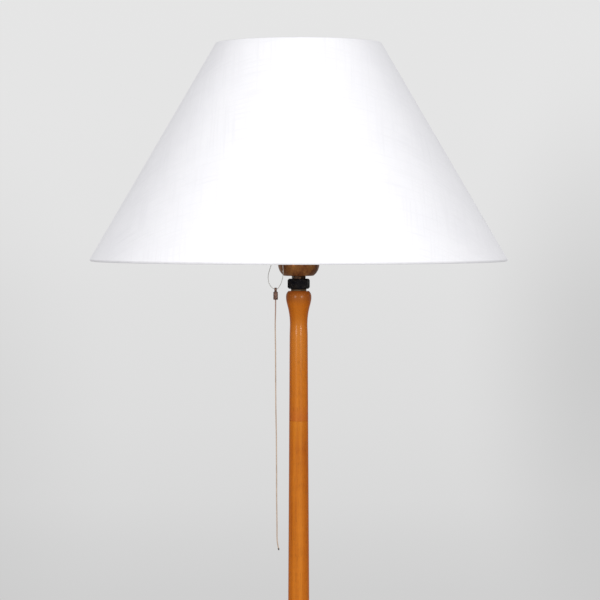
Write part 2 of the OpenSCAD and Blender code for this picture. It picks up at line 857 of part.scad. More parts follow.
grip_wall = 2.5;
module shade_ring_lower() {
    color("saddlebrown") translate([0, 0, carrier_z - shade_ring_grip]) {
        pipe(thread_d / 2 + grip_wall, thread_d / 2 + thread_gap, shade_ring_grip);
        translate([0, 0, shade_ring_grip - shade_ring_t])
            pipe(shade_ring_d / 2, thread_d / 2 + thread_gap, shade_ring_t);
    }
}

module shade_ring_upper() {
    color("saddlebrown") translate([0, 0, carrier_z + carrier_t]) {
        pipe(thread_d / 2 + grip_wall, thread_d / 2 + thread_gap, shade_ring_grip);
        pipe(low_wire_r - carrier_wire_d, thread_d / 2 + thread_gap, shade_ring_t);
    }
}

module carrier_lower_ring() {
    color("goldenrod") translate([0, 0, carrier_z])
        pipe(carrier_low_d / 2, thread_d / 2 + lay_gap, carrier_t);
}

// Each wire rises from the lower ring, leans out to its elbow and runs up to the upper ring.
wire_foot_h = 8;
wire_lean_h = 18;
wire_bend_run = 5;
wire_points = [
    [low_wire_r, 0, carrier_z + carrier_t],
    [low_wire_r, 0, carrier_z + carrier_t + wire_foot_h],
    [carrier_elbow_d / 2, 0, carrier_z + carrier_t + wire_foot_h + wire_lean_h],
    [carrier_top_d / 2, 0, carrier_top_z - carrier_top_t - wire_foot_h],
    [carrier_top_d / 2, 0, carrier_top_z - carrier_top_t]
];

module carrier_wires() {
    color("goldenrod") for (i = [0:carrier_wires_n - 1])
        rotate([0, 0, 360 * i / carrier_wires_n + 30])
            swept_open(bent(wire_points, wire_bend_run, 6), carrier_wire_d, 12);
}

module carrier_upper_ring() {
    color("goldenrod") translate([0, 0, carrier_top_z - carrier_top_t])
        pipe((carrier_top_d + carrier_top_w) / 2, (carrier_top_d - carrier_top_w) / 2, carrier_top_t);
}

// ---- Shade ----

lip_lap = 0.5;
module shade_spider() {
    lip_r = (carrier_top_d - carrier_top_w) / 2 - 2 * lay_gap;
    color("white") {
        translate([0, 0, spider_z])
            pipe((carrier_top_d + spider_ring_w) / 2, lip_r - spider_ring_t, spider_ring_t);
        translate([0, 0, spider_z - spider_lip]) pipe(lip_r, lip_r - spider_ring_t, spider_lip + lip_lap);
        at_spokes() cylinder(d = ring_wire_d, h = spoke_reach);
    }
}

module at_spokes() {
    for (i = [0:spoke_n - 1]) rotate([0, 0, 360 * i / spoke_n + 90])
        translate([spoke_in[0], 0, spoke_in[1]]) rotate([0, spoke_tilt, 0]) children();
}

module torus(at, r) {
    rotate_extrude() translate(at) circle(r = r);
}

module shade_top_ring() {
    color("white") torus(top_bead, ring_wire_d / 2);
}

module shade_bottom_ring() {
    color("white") torus(low_bead, ring_wire_d / 2);
}

// A layer of the shade's wall between two depths below its outer face.
module wall_layer(depth, t) {
    rotate_extrude() translate(low_bead) rotate(lean)
        translate([bead_r - depth - t, bead_r + lay_gap]) square([t, slant - 2 * bead_r - 2 * lay_gap]);
}

module shade_cover() {
    color("white") wall_layer(0, cover_t);
}

module shade_liner() {
    color("ivory") wall_layer(cover_t + lay_gap, liner_t);
}

module rolled_edge(at) {
    rotate_extrude() translate(at) difference() {
        circle(r = bead_r);
        circle(r = bead_r - roll_t);
    }
}

module shade_top_roll() {
    color("linen") difference() {
        rolled_edge(top_bead);
        at_spokes() cylinder(d = ring_wire_d + 2 * lay_gap, h = spoke_reach);
    }
}

module shade_bottom_roll() {
    color("linen") rolled_edge(low_bead);
}

// ---- Pull switch ----

module along_shaft(x0, x1, r) {
    translate([x0, 0, shaft_z]) rotate([0, 90, 0]) cylinder(r = r, h = x1 - x0);
}

crank_x0 = -crank_side - crank_t / 2;
shaft_past_crank = 0.6;
crank_hub_wall = 1.8;
rotor_w = 8;
rotor_end_gap = 1;
rotor_x = pocket_x1 - rotor_w - rotor_end_gap;
// Half width of the rotor's square, as a share of its diameter.
rotor_half = 0.42 * rotor_d;

module switch_shaft() {
    color("silver") along_shaft(crank_x0 - shaft_past_crank, pocket_x1 + shaft_past_pocket, shaft_d / 2);
}

module switch_rotor() {
    color("maroon") difference() {
        intersection() {
            along_shaft(rotor_x, rotor_x + rotor_w, rotor_d / 2);
            translate([rotor_x, -rotor_half, shaft_z - rotor_half])
                cube([rotor_w, 2 * rotor_half, 2 * rotor_half]);
        }
        along_shaft(rotor_x - over, rotor_x + rotor_w + over, shaft_d / 2 + run_gap);
    }
}

// The return spring: a coil round the shaft, between the block's wall and the rotor.
spring_wire_d = 0.8;
spring_turns = 3;
spring_pitch = 1.3;
spring_round_shaft = 0.4;
spring_end_gap = 0.1;
spring_r = shaft_d / 2 + spring_wire_d / 2 + spring_round_shaft;
spring_steps = 12;
spring_sides = 6;
spring_x = pocket_x0 + spring_wire_d / 2 + spring_end_gap;
spring_path = [
    for (i = [0:spring_turns * spring_steps])
        let (a = 360 * i / spring_steps)
            [spring_x + spring_pitch * i / spring_steps, spring_r * cos(a), shaft_z + spring_r * sin(a)]
];
spring_gap = min([
    for (i = [0:len(spring_path) - 1])
        for (j = [i + spring_steps / 2:1:len(spring_path) - 1]) norm(spring_path[i] - spring_path[j])
]) - spring_wire_d;
echo(spring_gap = spring_gap);

module switch_spring() {
    color("silver") polyhedron(
        [
            for (i = [0:len(spring_path) - 1])
                let (
                    a = 360 * i / spring_steps,
                    out = [0, cos(a), sin(a)],
                    along = unit([spring_pitch / 360 * 180 / PI, -spring_r * sin(a), spring_r * cos(a)]),
                    side = cross(along, out)
                )
                    for (k = [0:spring_sides - 1])
                        let (b = 360 * k / spring_sides)
                            spring_path[i] + spring_wire_d / 2 * (cos(b) * out + sin(b) * side)
        ],
        concat(tube_walls(len(spring_path), spring_sides, false), tube_caps(len(spring_path), spring_sides))
    );
}

module switch_crank() {
    color("silver") difference() {
        translate([crank_x0, 0, shaft_z]) rotate([-crank_rest, 0, 0]) rotate([0, 90, 0]) {
            cylinder(r = shaft_d / 2 + crank_hub_wall, h = crank_t);
            translate([-crank_w / 2, -crank_len, 0]) cube([crank_w, crank_len, crank_t]);
            translate([0, -crank_len, 0]) cylinder(r = eye_r, h = crank_t);
        }
        along_shaft(crank_x0 - over, crank_x0 + crank_t + over, shaft_d / 2 + run_gap);
        translate([crank_x0 - over, eye_y, eye_z]) rotate([0, 90, 0])
            cylinder(r = eye_hole_d / 2, h = crank_t + 2 * over);
    }
}

// ---- Pull ----

loop_path = [
    for (p = smooth_closed(loop_points, 3))
        [-crank_side + p[0], eye_y, eye_z - loop_sag + p[1]]
];

module pull_loop() {
    color("gainsboro") swept_closed(loop_path, loop_wire_d, 6);
}

rib_n = 5;
rib_depth = 0.3;
rib_flank = 0.25;
rib_h = ferrule_h / rib_n;
module pull_ferrule() {
    color("rosybrown") translate([ferrule_x, eye_y, 0]) difference() {
        union() {
            rotate_extrude() polygon(concat(
                [[0, ferrule_low_z]],
                [
                    for (i = [0:rib_n - 1])
                        each [
                            [ferrule_d / 2 - rib_depth, ferrule_low_z + i * rib_h],
                            [ferrule_d / 2, ferrule_low_z + (i + rib_flank) * rib_h],
                            [ferrule_d / 2, ferrule_low_z + (i + 1 - rib_flank) * rib_h]
                        ]
                ],
                [[ferrule_eye_w / 2, ferrule_z], [0, ferrule_z]]
            ));
            translate([-ferrule_eye_w / 2, 0, ferrule_eye_z]) rotate([0, 90, 0])
                cylinder(r = ferrule_eye_r, h = ferrule_eye_w);
            translate([-ferrule_eye_w / 2, -ferrule_eye_r, ferrule_z])
                cube([ferrule_eye_w, 2 * ferrule_eye_r, ferrule_neck]);
        }
        translate([-ferrule_d, 0, ferrule_eye_z]) rotate([0, 90, 0])
            cylinder(r = ferrule_hole_r, h = 2 * ferrule_d);
        translate([0, 0, ferrule_low_z - over])
            cylinder(r = cord_d / 2 + 2 * thread_gap, h = cord_socket + over);
    }
}

cord_path = [
    for (p = smooth_open(cord_points, 4)) [ferrule_x + p[0], eye_y + p[1], ferrule_low_z + p[2]]
];
cord_end = cord_path[len(cord_path) - 1];
cord_way = unit(cord_end - cord_path[len(cord_path) - 2]);

module pull_cord() {
    color("tan") swept_open(cord_path, cord_d, 8);
}

module cord_tip() {
    color("darkgray") translate(cord_end) rotate([0, 180 - atan2(cord_way[0], -cord_way[2]), 0])
        cylinder(d = cord_d + cord_tip_wrap, h = cord_tip_h);
}

base_felt();
base_weight();
weight_screws();
base_foot();
foot_washer();
foot_nut();
base_tube();
cord_bushing();
joint_inserts();
pole_lower();
lower_joint_tube();
pole_middle();
upper_joint_tube();
pole_top();
top_nipple();
collar_nut();
lock_nut();
holder_cup();
holder_block();
terminal_screws();
holder_skirt();
skirt_liner();
screw_shell();
centre_contact();
switch_spring();
switch_shaft();
switch_rotor();
switch_crank();
pull_loop();
pull_ferrule();
pull_cord();
cord_tip();
shade_ring_lower();
shade_ring_upper();
carrier_lower_ring();
carrier_wires();
carrier_upper_ring();
bulb_cap();
bulb_insulator();
bulb_contact();
bulb_glass();
shade_spider();
shade_top_ring();
shade_bottom_ring();
shade_liner();
shade_cover();
shade_top_roll();
shade_bottom_roll();
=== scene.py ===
import math

import bmesh
import bpy
from mathutils import Matrix, Vector, noise


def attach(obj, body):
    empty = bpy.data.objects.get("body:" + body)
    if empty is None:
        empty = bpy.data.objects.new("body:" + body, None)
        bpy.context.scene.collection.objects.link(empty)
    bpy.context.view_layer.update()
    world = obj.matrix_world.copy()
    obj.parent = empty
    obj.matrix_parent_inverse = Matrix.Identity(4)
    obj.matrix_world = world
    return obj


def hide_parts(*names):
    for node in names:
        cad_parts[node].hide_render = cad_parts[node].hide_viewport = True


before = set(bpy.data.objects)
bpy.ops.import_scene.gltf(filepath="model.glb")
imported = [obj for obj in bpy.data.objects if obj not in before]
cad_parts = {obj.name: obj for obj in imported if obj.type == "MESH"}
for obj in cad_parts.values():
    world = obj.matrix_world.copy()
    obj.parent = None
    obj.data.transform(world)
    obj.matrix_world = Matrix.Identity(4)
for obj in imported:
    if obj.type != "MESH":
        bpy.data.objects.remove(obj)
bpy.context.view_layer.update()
mm = 0.001
fullTurn = 2 * math.pi


def newObject(name, data):
    thing = bpy.data.objects.new(name, data)
    bpy.context.scene.collection.objects.link(thing)
    return thing


# camera as in the photograph, at the height of the shade's lower part and tilted down a little
cameraView = {"place": (0.0, -2.53, 1.208), "lens": 140.4, "sensor": 36, "tilt": 1.93, "pan": 0.032,
              "reach": (0.05, 60)}
camera = newObject("camera", bpy.data.cameras.new("camera"))
camera.location = cameraView["place"]
camera.rotation_euler = (math.radians(90 - cameraView["tilt"]), 0, -math.radians(cameraView["pan"]))
camera.data.lens, camera.data.sensor_width = cameraView["lens"], cameraView["sensor"]
camera.data.clip_start, camera.data.clip_end = cameraView["reach"]
bpy.context.scene.camera = camera

# node helpers


def addNode(tree, kind, inputs=None, **settings):
    node = tree.nodes.new("ShaderNode" + kind)
    for key, value in settings.items():
        setattr(node, key, value)
    for key, value in (inputs or {}).items():
        if isinstance(value, bpy.types.NodeSocket):
            tree.links.new(value, node.inputs[key])
        elif isinstance(value, tuple) and node.inputs[key].type == "RGBA":
            node.inputs[key].default_value = (*value, 1)
        else:
            node.inputs[key].default_value = value
    return node


def startMaterial(name, **plain):
    material = bpy.data.materials.new(name)
    material.use_nodes = True
    tree = material.node_tree
    shader = tree.nodes["Principled BSDF"]
    for key, value in plain.items():
        shader.inputs[key.replace("_", " ")].default_value = value
    return material, tree, shader


def feed(tree, shader, **sockets):
    for key, value in sockets.items():
        tree.links.new(value, shader.inputs[key.replace("_", " ")])


def onObject(tree, scale=(1, 1, 1), turn=(0, 0, 0), shift=(0, 0, 0)):
    source = addNode(tree, "TexCoord").outputs["Object"]
    return addNode(tree, "Mapping", {"Vector": source, "Scale": scale, "Rotation": turn,
                                     "Location": shift}).outputs[0]


def onCloth(tree, scale=(1, 1, 1)):
    source = addNode(tree, "UVMap", uv_map="cloth").outputs[0]
    return addNode(tree, "Mapping", {"Vector": source, "Scale": scale}).outputs[0]


def grainOf(tree, where, scale, detail=4.0, roughness=0.55, distortion=0.0):
    return addNode(tree, "TexNoise", {"Vector": where, "Scale": scale, "Detail": detail,
                                      "Roughness": roughness, "Distortion": distortion}).outputs[0]


def ramp(tree, factor, *stops):
    node = addNode(tree, "ValToRGB", {"Fac": factor})
    elements = node.color_ramp.elements
    elements.remove(elements[1])
    for number, (place, tone) in enumerate(stops):
        element = elements[0] if number == 0 else elements.new(place)
        element.position = place
        element.color = (*tone, 1) if isinstance(tone, tuple) else (tone, tone, tone, 1)
    return node.outputs[0]


def mixed(tree, factor, first, second, blend="MIX"):
    node = addNode(tree, "Mix", data_type="RGBA", blend_type=blend)
    for index, value in ((0, factor), (6, first), (7, second)):
        if isinstance(value, bpy.types.NodeSocket):
            tree.links.new(value, node.inputs[index])
        elif isinstance(value, tuple):
            node.inputs[index].default_value = (*value, 1)
        else:
            node.inputs[index].default_value = value
    return node.outputs[2]


def maths(tree, operation, *values):
    node = addNode(tree, "Math", operation=operation)
    for index, value in enumerate(values):
        if isinstance(value, bpy.types.NodeSocket):
            tree.links.new(value, node.inputs[index])
        else:
            node.inputs[index].default_value = value
    return node.outputs[0]


def weighted(tree, *parts):
    total = 0.0
    for value, share in parts:
        total = maths(tree, "MULTIPLY_ADD", value, share, total)
    return total


def between(tree, value, low, high, first=0.0, last=1.0):
    return addNode(tree, "MapRange", {"Value": value, "From Min": low, "From Max": high,
                                      "To Min": first, "To Max": last}, interpolation_type="SMOOTHSTEP").outputs[0]


def bumped(tree, height, strength, depth, under=None):
    inputs = {"Height": height, "Strength": strength, "Distance": depth}
    if under is not None:
        inputs["Normal"] = under
    return addNode(tree, "Bump", inputs).outputs[0]


def heightOnObject(tree):
    return addNode(tree, "SeparateXYZ", {"Vector": onObject(tree)}).outputs[2]


# materials

woodTones = {
    "deep": (0.390, 0.114, 0.010),
    "middle": (0.515, 0.193, 0.025),
    "light": (0.612, 0.254, 0.050),
    "redBrown": (0.269, 0.089, 0.040),
    "brownish": (0.431, 0.150, 0.005),
    "reddish": (0.481, 0.152, 0.060),
    "paleOrange": (0.625, 0.282, 0.040),
    # paintedGloss: a paler tone that stands in for a broad highlight
    "paintedGloss": (0.575, 0.259, 0.090),
}
woodTints = {  # tone, the heights between which it comes in or goes out, and its share
    # on the top section the paintedGloss band is a painted highlight just under the swelling
    "top": (("paintedGloss", ((1.040, 1.078), (1.108, 1.092)), 0.55), ("brownish", ((1.084, 1.110),), 0.75),
            ("redBrown", ((1.1165, 1.1262),), 0.78), ("reddish", ((1.012, 0.996),), 0.55)),
    "middle": (("paleOrange", ((0.962, 0.990),), 0.50),),
}


def makeWood(name, seed, tints=(), along=2, duller=0.0):
    material, tree, shader = startMaterial(name, Specular_IOR_Level=0.52, Coat_Weight=1.0, Coat_IOR=1.16,
                                           Coat_Roughness=0.17 + duller, Coat_Tint=(0.80, 0.56, 0.20, 1))

    def grainWay(stretch, across=1):
        return tuple(stretch if axis == along else across for axis in range(3))

    cloudy = grainOf(tree, onObject(tree, grainWay(0.14), shift=(seed, seed, seed)), 48, 3)
    bands = addNode(tree, "TexWave", {
        "Vector": onObject(tree, grainWay(0.03), (0.012, 0.018, 0.6 + seed)), "Scale": 44, "Distortion": 14,
        "Detail": 3, "Detail Scale": 0.7}, wave_type="BANDS",
        bands_direction="X" if along == 2 else "Y").outputs[1]
    fibre = grainOf(tree, onObject(tree, grainWay(0.022), (0.01, -0.008, seed)), 1100, 4, 0.62)
    figure = grainOf(tree, onObject(tree, grainWay(1, 0.45), shift=(seed, 0, 0)), 75, 2)
    streak = weighted(tree, (cloudy, 0.52), (bands, 0.11), (fibre, 0.27), (figure, 0.15))
    colour = ramp(tree, streak, (0.33, woodTones["deep"]), (0.48, woodTones["middle"]),
                  (0.66, woodTones["light"]))
    pores = ramp(tree, grainOf(tree, onObject(tree, grainWay(0.09), shift=(0, seed, 0)), 1500, 2, 0.5),
                 (0.30, 0.50), (0.41, 1.0))
    colour = mixed(tree, 0.60, colour, pores, "MULTIPLY")
    for tone, spans, share in tints:
        for low, high in spans:
            share = maths(tree, "MULTIPLY", between(tree, heightOnObject(tree), low, high), share)
        colour = mixed(tree, share, colour, woodTones[tone])
    sheen = weighted(tree, (cloudy, 0.6), (fibre, 0.4))
    feed(tree, shader, Base_Color=colour,
         Roughness=ramp(tree, sheen, (0.35, 0.54 + duller / 2), (0.7, 0.62 + duller / 2)),
         Normal=bumped(tree, fibre, 0.10, 0.0003, bumped(tree, pores, 0.12, 0.0002)))
    return material


def makeMetal(name, tones, roughness, metallic=1.0, speckle=0.25, scale=220, bump=0.06):
    material, tree, shader = startMaterial(name, Metallic=metallic)
    cloudy = grainOf(tree, onObject(tree), scale, 5, 0.6)
    fine = grainOf(tree, onObject(tree), scale * 9, 3, 0.6)
    mix = weighted(tree, (cloudy, 1 - speckle), (fine, speckle))
    feed(tree, shader, Base_Color=ramp(tree, mix, (0.36, tones[0]), (0.5, tones[1]), (0.64, tones[2])),
         Roughness=ramp(tree, mix, (0.35, roughness[1]), (0.65, roughness[0])),
         Normal=bumped(tree, fine, bump, 0.0002))
    return material


patinaTones = {
    "cup": ((0.064, 0.023, 0.010), (0.155, 0.053, 0.017), (0.250, 0.094, 0.027), (0.330, 0.146, 0.040),
            (0.190, 0.124, 0.055)),
    # nut: near-black tones, partly dark patina and partly painted shade for the shadow under the cup
    "nut": ((0.007, 0.004, 0.002), (0.016, 0.008, 0.004), (0.027, 0.013, 0.006), (0.041, 0.022, 0.010),
            (0.072, 0.048, 0.026)),
}


def makePatina(name, tones, spotted):
    material, tree, shader = startMaterial(name, Metallic=0.90)
    patches = grainOf(tree, onObject(tree, (1, 1, 0.8), shift=(0.31, 0.02, 0)), 75, 6, 0.66, 0.12)
    runs = grainOf(tree, onObject(tree, (1, 1, 0.35)), 300, 4, 0.6)
    fine = grainOf(tree, onObject(tree), 1500, 3, 0.6)
    mix = weighted(tree, (patches, 0.66), (runs, 0.34))
    colour = ramp(tree, mix, *zip((0.35, 0.44, 0.53, 0.63, 0.73), tones))
    spots = ramp(tree, fine, (0.36, 0.45), (0.46, 1.0))
    feed(tree, shader, Base_Color=mixed(tree, spotted, colour, spots, "MULTIPLY"),
         Roughness=ramp(tree, mix, (0.4, 0.50), (0.6, 0.33)),
         Normal=bumped(tree, fine, 0.10, 0.0002, bumped(tree, patches, 0.06, 0.0005)))
    return material


def makeBlack(name, greyBrownBelow=None):
    material, tree, shader = startMaterial(name, Specular_IOR_Level=0.04)
    cloudy = grainOf(tree, onObject(tree), 180, 4)
    fine = grainOf(tree, onObject(tree), 2600, 3, 0.7)
    colour = ramp(tree, cloudy, (0.38, (0.0035, 0.0032, 0.0048)), (0.62, (0.0090, 0.0070, 0.0062)))
    if greyBrownBelow:
        # below this height the black turns grey-brown at the flange's lowest edge
        greyBrownEdge = between(tree, heightOnObject(tree), greyBrownBelow + 0.0014, greyBrownBelow - 0.0006)
        greyBrownEdge = maths(tree, "MULTIPLY", greyBrownEdge, ramp(tree, cloudy, (0.34, 0.35), (0.6, 1.0)))
        colour = mixed(tree, greyBrownEdge, colour, (0.135, 0.082, 0.042))
    feed(tree, shader, Base_Color=colour, Roughness=ramp(tree, cloudy, (0.35, 0.62), (0.65, 0.50)),
         Normal=bumped(tree, fine, 0.10, 0.0002))
    return material


# painted shadow on the lower hem: the cloth is greyed round the underside of the lower roll, where shade falls; the
# band starts at this distance from the cone's tip in the flat cut
linenWeave = {"threadPitch": 0.00062, "hemStart": 0.4455, "rimShadowTone": 0.79}


def makeLinen():
    material, tree, shader = startMaterial("linen", Specular_IOR_Level=0.15, Sheen_Weight=0.12, Sheen_Roughness=0.6)
    pitch = linenWeave["threadPitch"]
    split = addNode(tree, "SeparateXYZ", {"Vector": onCloth(tree)})
    waviness = grainOf(tree, onCloth(tree), 160, 2)
    heights = []
    for index in (0, 1):
        along = maths(tree, "ADD", split.outputs[index], maths(tree, "MULTIPLY", waviness, pitch * 1.4))
        heights.append(maths(tree, "SINE", maths(tree, "MULTIPLY", along, fullTurn / pitch / 2)))
    over = maths(tree, "MULTIPLY", heights[0], heights[1])
    weave = maths(tree, "ABSOLUTE", over)
    thicker = [ramp(tree, grainOf(tree, onCloth(tree, stretch), 400, 3, 0.6), (0.50, 0.0), (0.66, 1.0))
               for stretch in ((1, 0.032, 1), (0.032, 1, 1))]
    slubs = maths(tree, "MAXIMUM", *thicker)
    clouds = grainOf(tree, onCloth(tree), 26, 3)
    colour = ramp(tree, weave, (0.0, (0.80, 0.797, 0.828)), (0.6, (0.902, 0.898, 0.928)))
    colour = mixed(tree, maths(tree, "MULTIPLY", slubs, 0.36), colour, (0.775, 0.772, 0.800))
    patchy = ramp(tree, clouds, (0.35, (0.955, 0.955, 0.965)), (0.65, (1, 1, 1)))
    colour = mixed(tree, 0.35, colour, patchy, "MULTIPLY")
    fromTip = addNode(tree, "VectorMath", {0: onCloth(tree)}, operation="LENGTH").outputs["Value"]
    start = linenWeave["hemStart"]
    # painted shadow along the underside of the lower rolled edge, back to full white a few millimetres further on
    hem = between(tree, fromTip, start, start + 0.0012, 1.0, linenWeave["rimShadowTone"])
    pastRimShadow = between(tree, fromTip, start + 0.0035, start + 0.0055)
    colour = mixed(tree, 1.0, colour, maths(tree, "MAXIMUM", hem, pastRimShadow), "MULTIPLY")
    height = maths(tree, "ADD", weave, maths(tree, "MULTIPLY", slubs, 0.8))
    feed(tree, shader, Base_Color=colour, Roughness=ramp(tree, slubs, (0.0, 0.88), (1.0, 0.78)),
         Normal=bumped(tree, height, 0.35, 0.00018))
    return material


def makePaint(name, tones, roughness, chips=None, bump=0.05, scale=120):
    material, tree, shader = startMaterial(name)
    cloudy = grainOf(tree, onObject(tree), scale, 4)
    fine = grainOf(tree, onObject(tree), scale * 14, 3, 0.65)
    colour = ramp(tree, cloudy, (0.36, tones[0]), (0.64, tones[1]))
    if chips:
        chipped = ramp(tree, grainOf(tree, onObject(tree), 330, 3), (0.72, 0.0), (0.75, 1.0))
        colour = mixed(tree, chipped, colour, chips)
    feed(tree, shader, Base_Color=colour, Roughness=ramp(tree, cloudy, (0.35, roughness[0]), (0.65, roughness[1])),
         Normal=bumped(tree, fine, bump, 0.0002))
    return material


def makeFelt():
    material, tree, shader = startMaterial("felt", Specular_IOR_Level=0.1, Sheen_Weight=0.4, Sheen_Roughness=0.7)
    fibres = grainOf(tree, onObject(tree), 900, 6, 0.7, 1.5)
    cloudy = grainOf(tree, onObject(tree), 60, 4)
    colour = ramp(tree, weighted(tree, (fibres, 0.7), (cloudy, 0.3)),
                  (0.36, (0.016, 0.030, 0.017)), (0.52, (0.034, 0.058, 0.031)), (0.68, (0.075, 0.098, 0.058)))
    feed(tree, shader, Base_Color=colour, Roughness=ramp(tree, fibres, (0.3, 0.98), (0.7, 0.86)),
         Normal=bumped(tree, fibres, 0.7, 0.0006))
    return material


twineTones = {"dyed": (0.270, 0.155, 0.125), "deep": (0.310, 0.220, 0.160), "plain": (0.430, 0.325, 0.250),
              "light": (0.540, 0.425, 0.335)}


def makeTwine():
    material, tree, shader = startMaterial("twine", Specular_IOR_Level=0.15, Sheen_Weight=0.2, Sheen_Roughness=0.6)
    fibres = grainOf(tree, onObject(tree, (1, 1, 0.3)), 3800, 4, 0.65)
    clumps = grainOf(tree, onObject(tree, (1, 1, 0.5)), 240, 3)
    colour = ramp(tree, weighted(tree, (fibres, 0.6), (clumps, 0.4)),
                  (0.36, twineTones["deep"]), (0.5, twineTones["plain"]), (0.66, twineTones["light"]))
    dyed = between(tree, heightOnObject(tree), 1.086, 1.122)
    colour = mixed(tree, maths(tree, "MULTIPLY", dyed, 0.85), colour, twineTones["dyed"])
    feed(tree, shader, Base_Color=colour, Roughness=ramp(tree, fibres, (0.3, 0.95), (0.7, 0.8)),
         Normal=bumped(tree, fibres, 0.5, 0.00015))
    return material


def makeOpal():
    material, tree, shader = startMaterial("opalGlass", Coat_Weight=0.5, Coat_Roughness=0.06)
    cloudy = grainOf(tree, onObject(tree), 34, 3)
    fine = grainOf(tree, onObject(tree), 700, 2)
    feed(tree, shader, Base_Color=ramp(tree, cloudy, (0.35, (0.80, 0.80, 0.78)), (0.65, (0.88, 0.88, 0.865))),
         Roughness=ramp(tree, cloudy, (0.35, 0.22), (0.65, 0.30)), Normal=bumped(tree, fine, 0.03, 0.0002))
    return material


brassTones = ((0.34, 0.205, 0.070), (0.45, 0.285, 0.098), (0.54, 0.355, 0.130))
steelTones = ((0.22, 0.215, 0.205), (0.40, 0.395, 0.385), (0.55, 0.545, 0.535))
finishes = {
    "felt": makeFelt(),
    "iron": makeMetal("castIron", ((0.020, 0.019, 0.018), (0.045, 0.042, 0.040), (0.085, 0.072, 0.060)),
                      (0.55, 0.8), 0.6, 0.5, 160, 0.5),
    "steel": makeMetal("zincSteel", steelTones, (0.30, 0.48)),
    "wood": makeWood("turnedWood", 0.0),
    "brass": makeMetal("brass", brassTones, (0.28, 0.46)),
    "patina_brass": makePatina("patinaBrass", patinaTones["cup"], 0.6),
    "bakelite": makeBlack("bakelite"),
    "porcelain": makePaint("porcelain", ((0.72, 0.71, 0.68), (0.80, 0.79, 0.77)), (0.16, 0.26), bump=0.03),
    "cap_metal": makeMetal("capMetal", ((0.38, 0.38, 0.37), (0.55, 0.55, 0.54), (0.66, 0.66, 0.65)), (0.26, 0.42)),
    "opal_glass": makeOpal(),
    "cord": makeTwine(),
    "cord_end": makeMetal("cordEnd", ((0.045, 0.042, 0.040), (0.085, 0.080, 0.075), (0.15, 0.14, 0.13)),
                          (0.45, 0.6), 0.6),
    "white_metal": makePaint("whiteWire", ((0.70, 0.70, 0.69), (0.80, 0.80, 0.79)), (0.34, 0.46),
                             (0.38, 0.34, 0.30)),
    "liner": makePaint("liner", ((0.845, 0.845, 0.835), (0.865, 0.865, 0.857)), (0.40, 0.50), scale=150),
    "linen": makeLinen(),
}
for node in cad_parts.values():
    for slot in node.material_slots:
        slot.material = finishes[slot.material.name.split(".")[0]]
finishes["woodTop"] = makeWood("turnedWoodTop", 0.7, woodTints["top"])
finishes["woodMiddle"] = makeWood("turnedWoodMiddle", 0.35, woodTints["middle"])
finishes["woodFoot"] = makeWood("turnedWoodFoot", 0.15, along=0, duller=0.14)
# the lock nut's near-black finish is partly dark patina and partly painted shade
finishes["nutPatinaAndShade"] = makePatina("nutPatinaAndShade", patinaTones["nut"], 0.3)
finishes["collar"] = makeBlack("collarBlack", 1.1336)
finishes["wire"] = makeMetal("loopWire", ((0.37, 0.36, 0.34), (0.42, 0.41, 0.385), (0.47, 0.455, 0.42)),
                             (0.46, 0.54), 0.75, 0.3, 90, 0.03)
finishes["ferrule"] = makeMetal("ferruleMetal", ((0.070, 0.040, 0.030), (0.150, 0.082, 0.062), (0.240, 0.140, 0.105)),
                                (0.38, 0.55), 0.75, 0.4, 420, 0.12)
print("materials made:", len(finishes))

# mesh helpers


def meshFrom(bm, name):
    mesh = bpy.data.meshes.new(name)
    bm.to_mesh(mesh)
    bm.free()
    return mesh


def finishedMesh(thing):
    bpy.context.view_layer.update()
    return bpy.data.meshes.new_from_object(thing.evaluated_get(bpy.context.evaluated_depsgraph_get()))


def cleaned(bm):
    bmesh.ops.remove_doubles(bm, verts=bm.verts, dist=1e-7)
    bmesh.ops.recalc_face_normals(bm, faces=bm.faces)
    return bm


def makePiece(name, bm, material, body, replaced, sharp=38):
    for edge in bm.edges:
        edge.smooth = len(edge.link_faces) == 2 and edge.calc_face_angle(0) < math.radians(sharp)
    for face in bm.faces:
        face.smooth = True
    piece = newObject(name, meshFrom(bm, name))
    piece.data.materials.append(finishes[material])
    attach(piece, body)
    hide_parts(*replaced)
    return piece


def spun(outline, steps=128, into=None):
    bm = into or bmesh.new()
    verts = [bm.verts.new((r * mm, 0, z * mm)) for r, z in outline]
    edges = [bm.edges.new(pair) for pair in zip(verts, verts[1:] + verts[:1])]
    bmesh.ops.spin(bm, geom=verts + edges, cent=(0, 0, 0), axis=(0, 0, 1), dvec=(0, 0, 0), angle=fullTurn,
                   steps=steps, use_merge=True, use_normal_flip=False, use_duplicate=False)
    return cleaned(bm)


def rounded(corners, steps=5):
    points, count = [], len(corners)
    for index, (r, z, radius) in enumerate(corners):
        here = Vector((r, z))
        if radius == 0:
            points.append((r, z))
            continue
        ends = [here + radius * (Vector(corners[(index + side) % count][:2]) - here).normalized()
                for side in (-1, 1)]
        for step in range(steps + 1):
            t = step / steps
            points.append(tuple((1 - t) ** 2 * ends[0] + 2 * t * (1 - t) * here + t ** 2 * ends[1]))
    return points


def easing(t, start, startSlope, end, endSlope):
    return ((2 * t ** 3 - 3 * t ** 2 + 1) * start + (t ** 3 - 2 * t ** 2 + t) * startSlope
            + (3 * t ** 2 - 2 * t ** 3) * end + (t ** 3 - t ** 2) * endSlope)


def eased(knots, steps):
    points = []
    for (z0, r0, slope0), (z1, r1, slope1) in zip(knots, knots[1:]):
        rise = z1 - z0
        for step in range(steps):
            t = step / steps
            points.append((easing(t, r0, slope0 * rise, r1, slope1 * rise), z0 + rise * t))
    return points + [(knots[-1][1], knots[-1][0])]


def smoothRoute(points, steps, closed=False):
    count, route = len(points), []
    for index in range(count if closed else count - 1):
        a, b, c, d = (Vector(points[(index + k) % count if closed else min(max(index + k, 0), count - 1)])
                      for k in (-1, 0, 1, 2))
        for step in range(steps):
            t = step / steps
            route.append(0.5 * (2 * b + (c - a) * t + (2 * a - 5 * b + 4 * c - d) * t ** 2
                                + (3 * b - a - 3 * c + d) * t ** 3))
    return route if closed else route + [Vector(points[-1])]


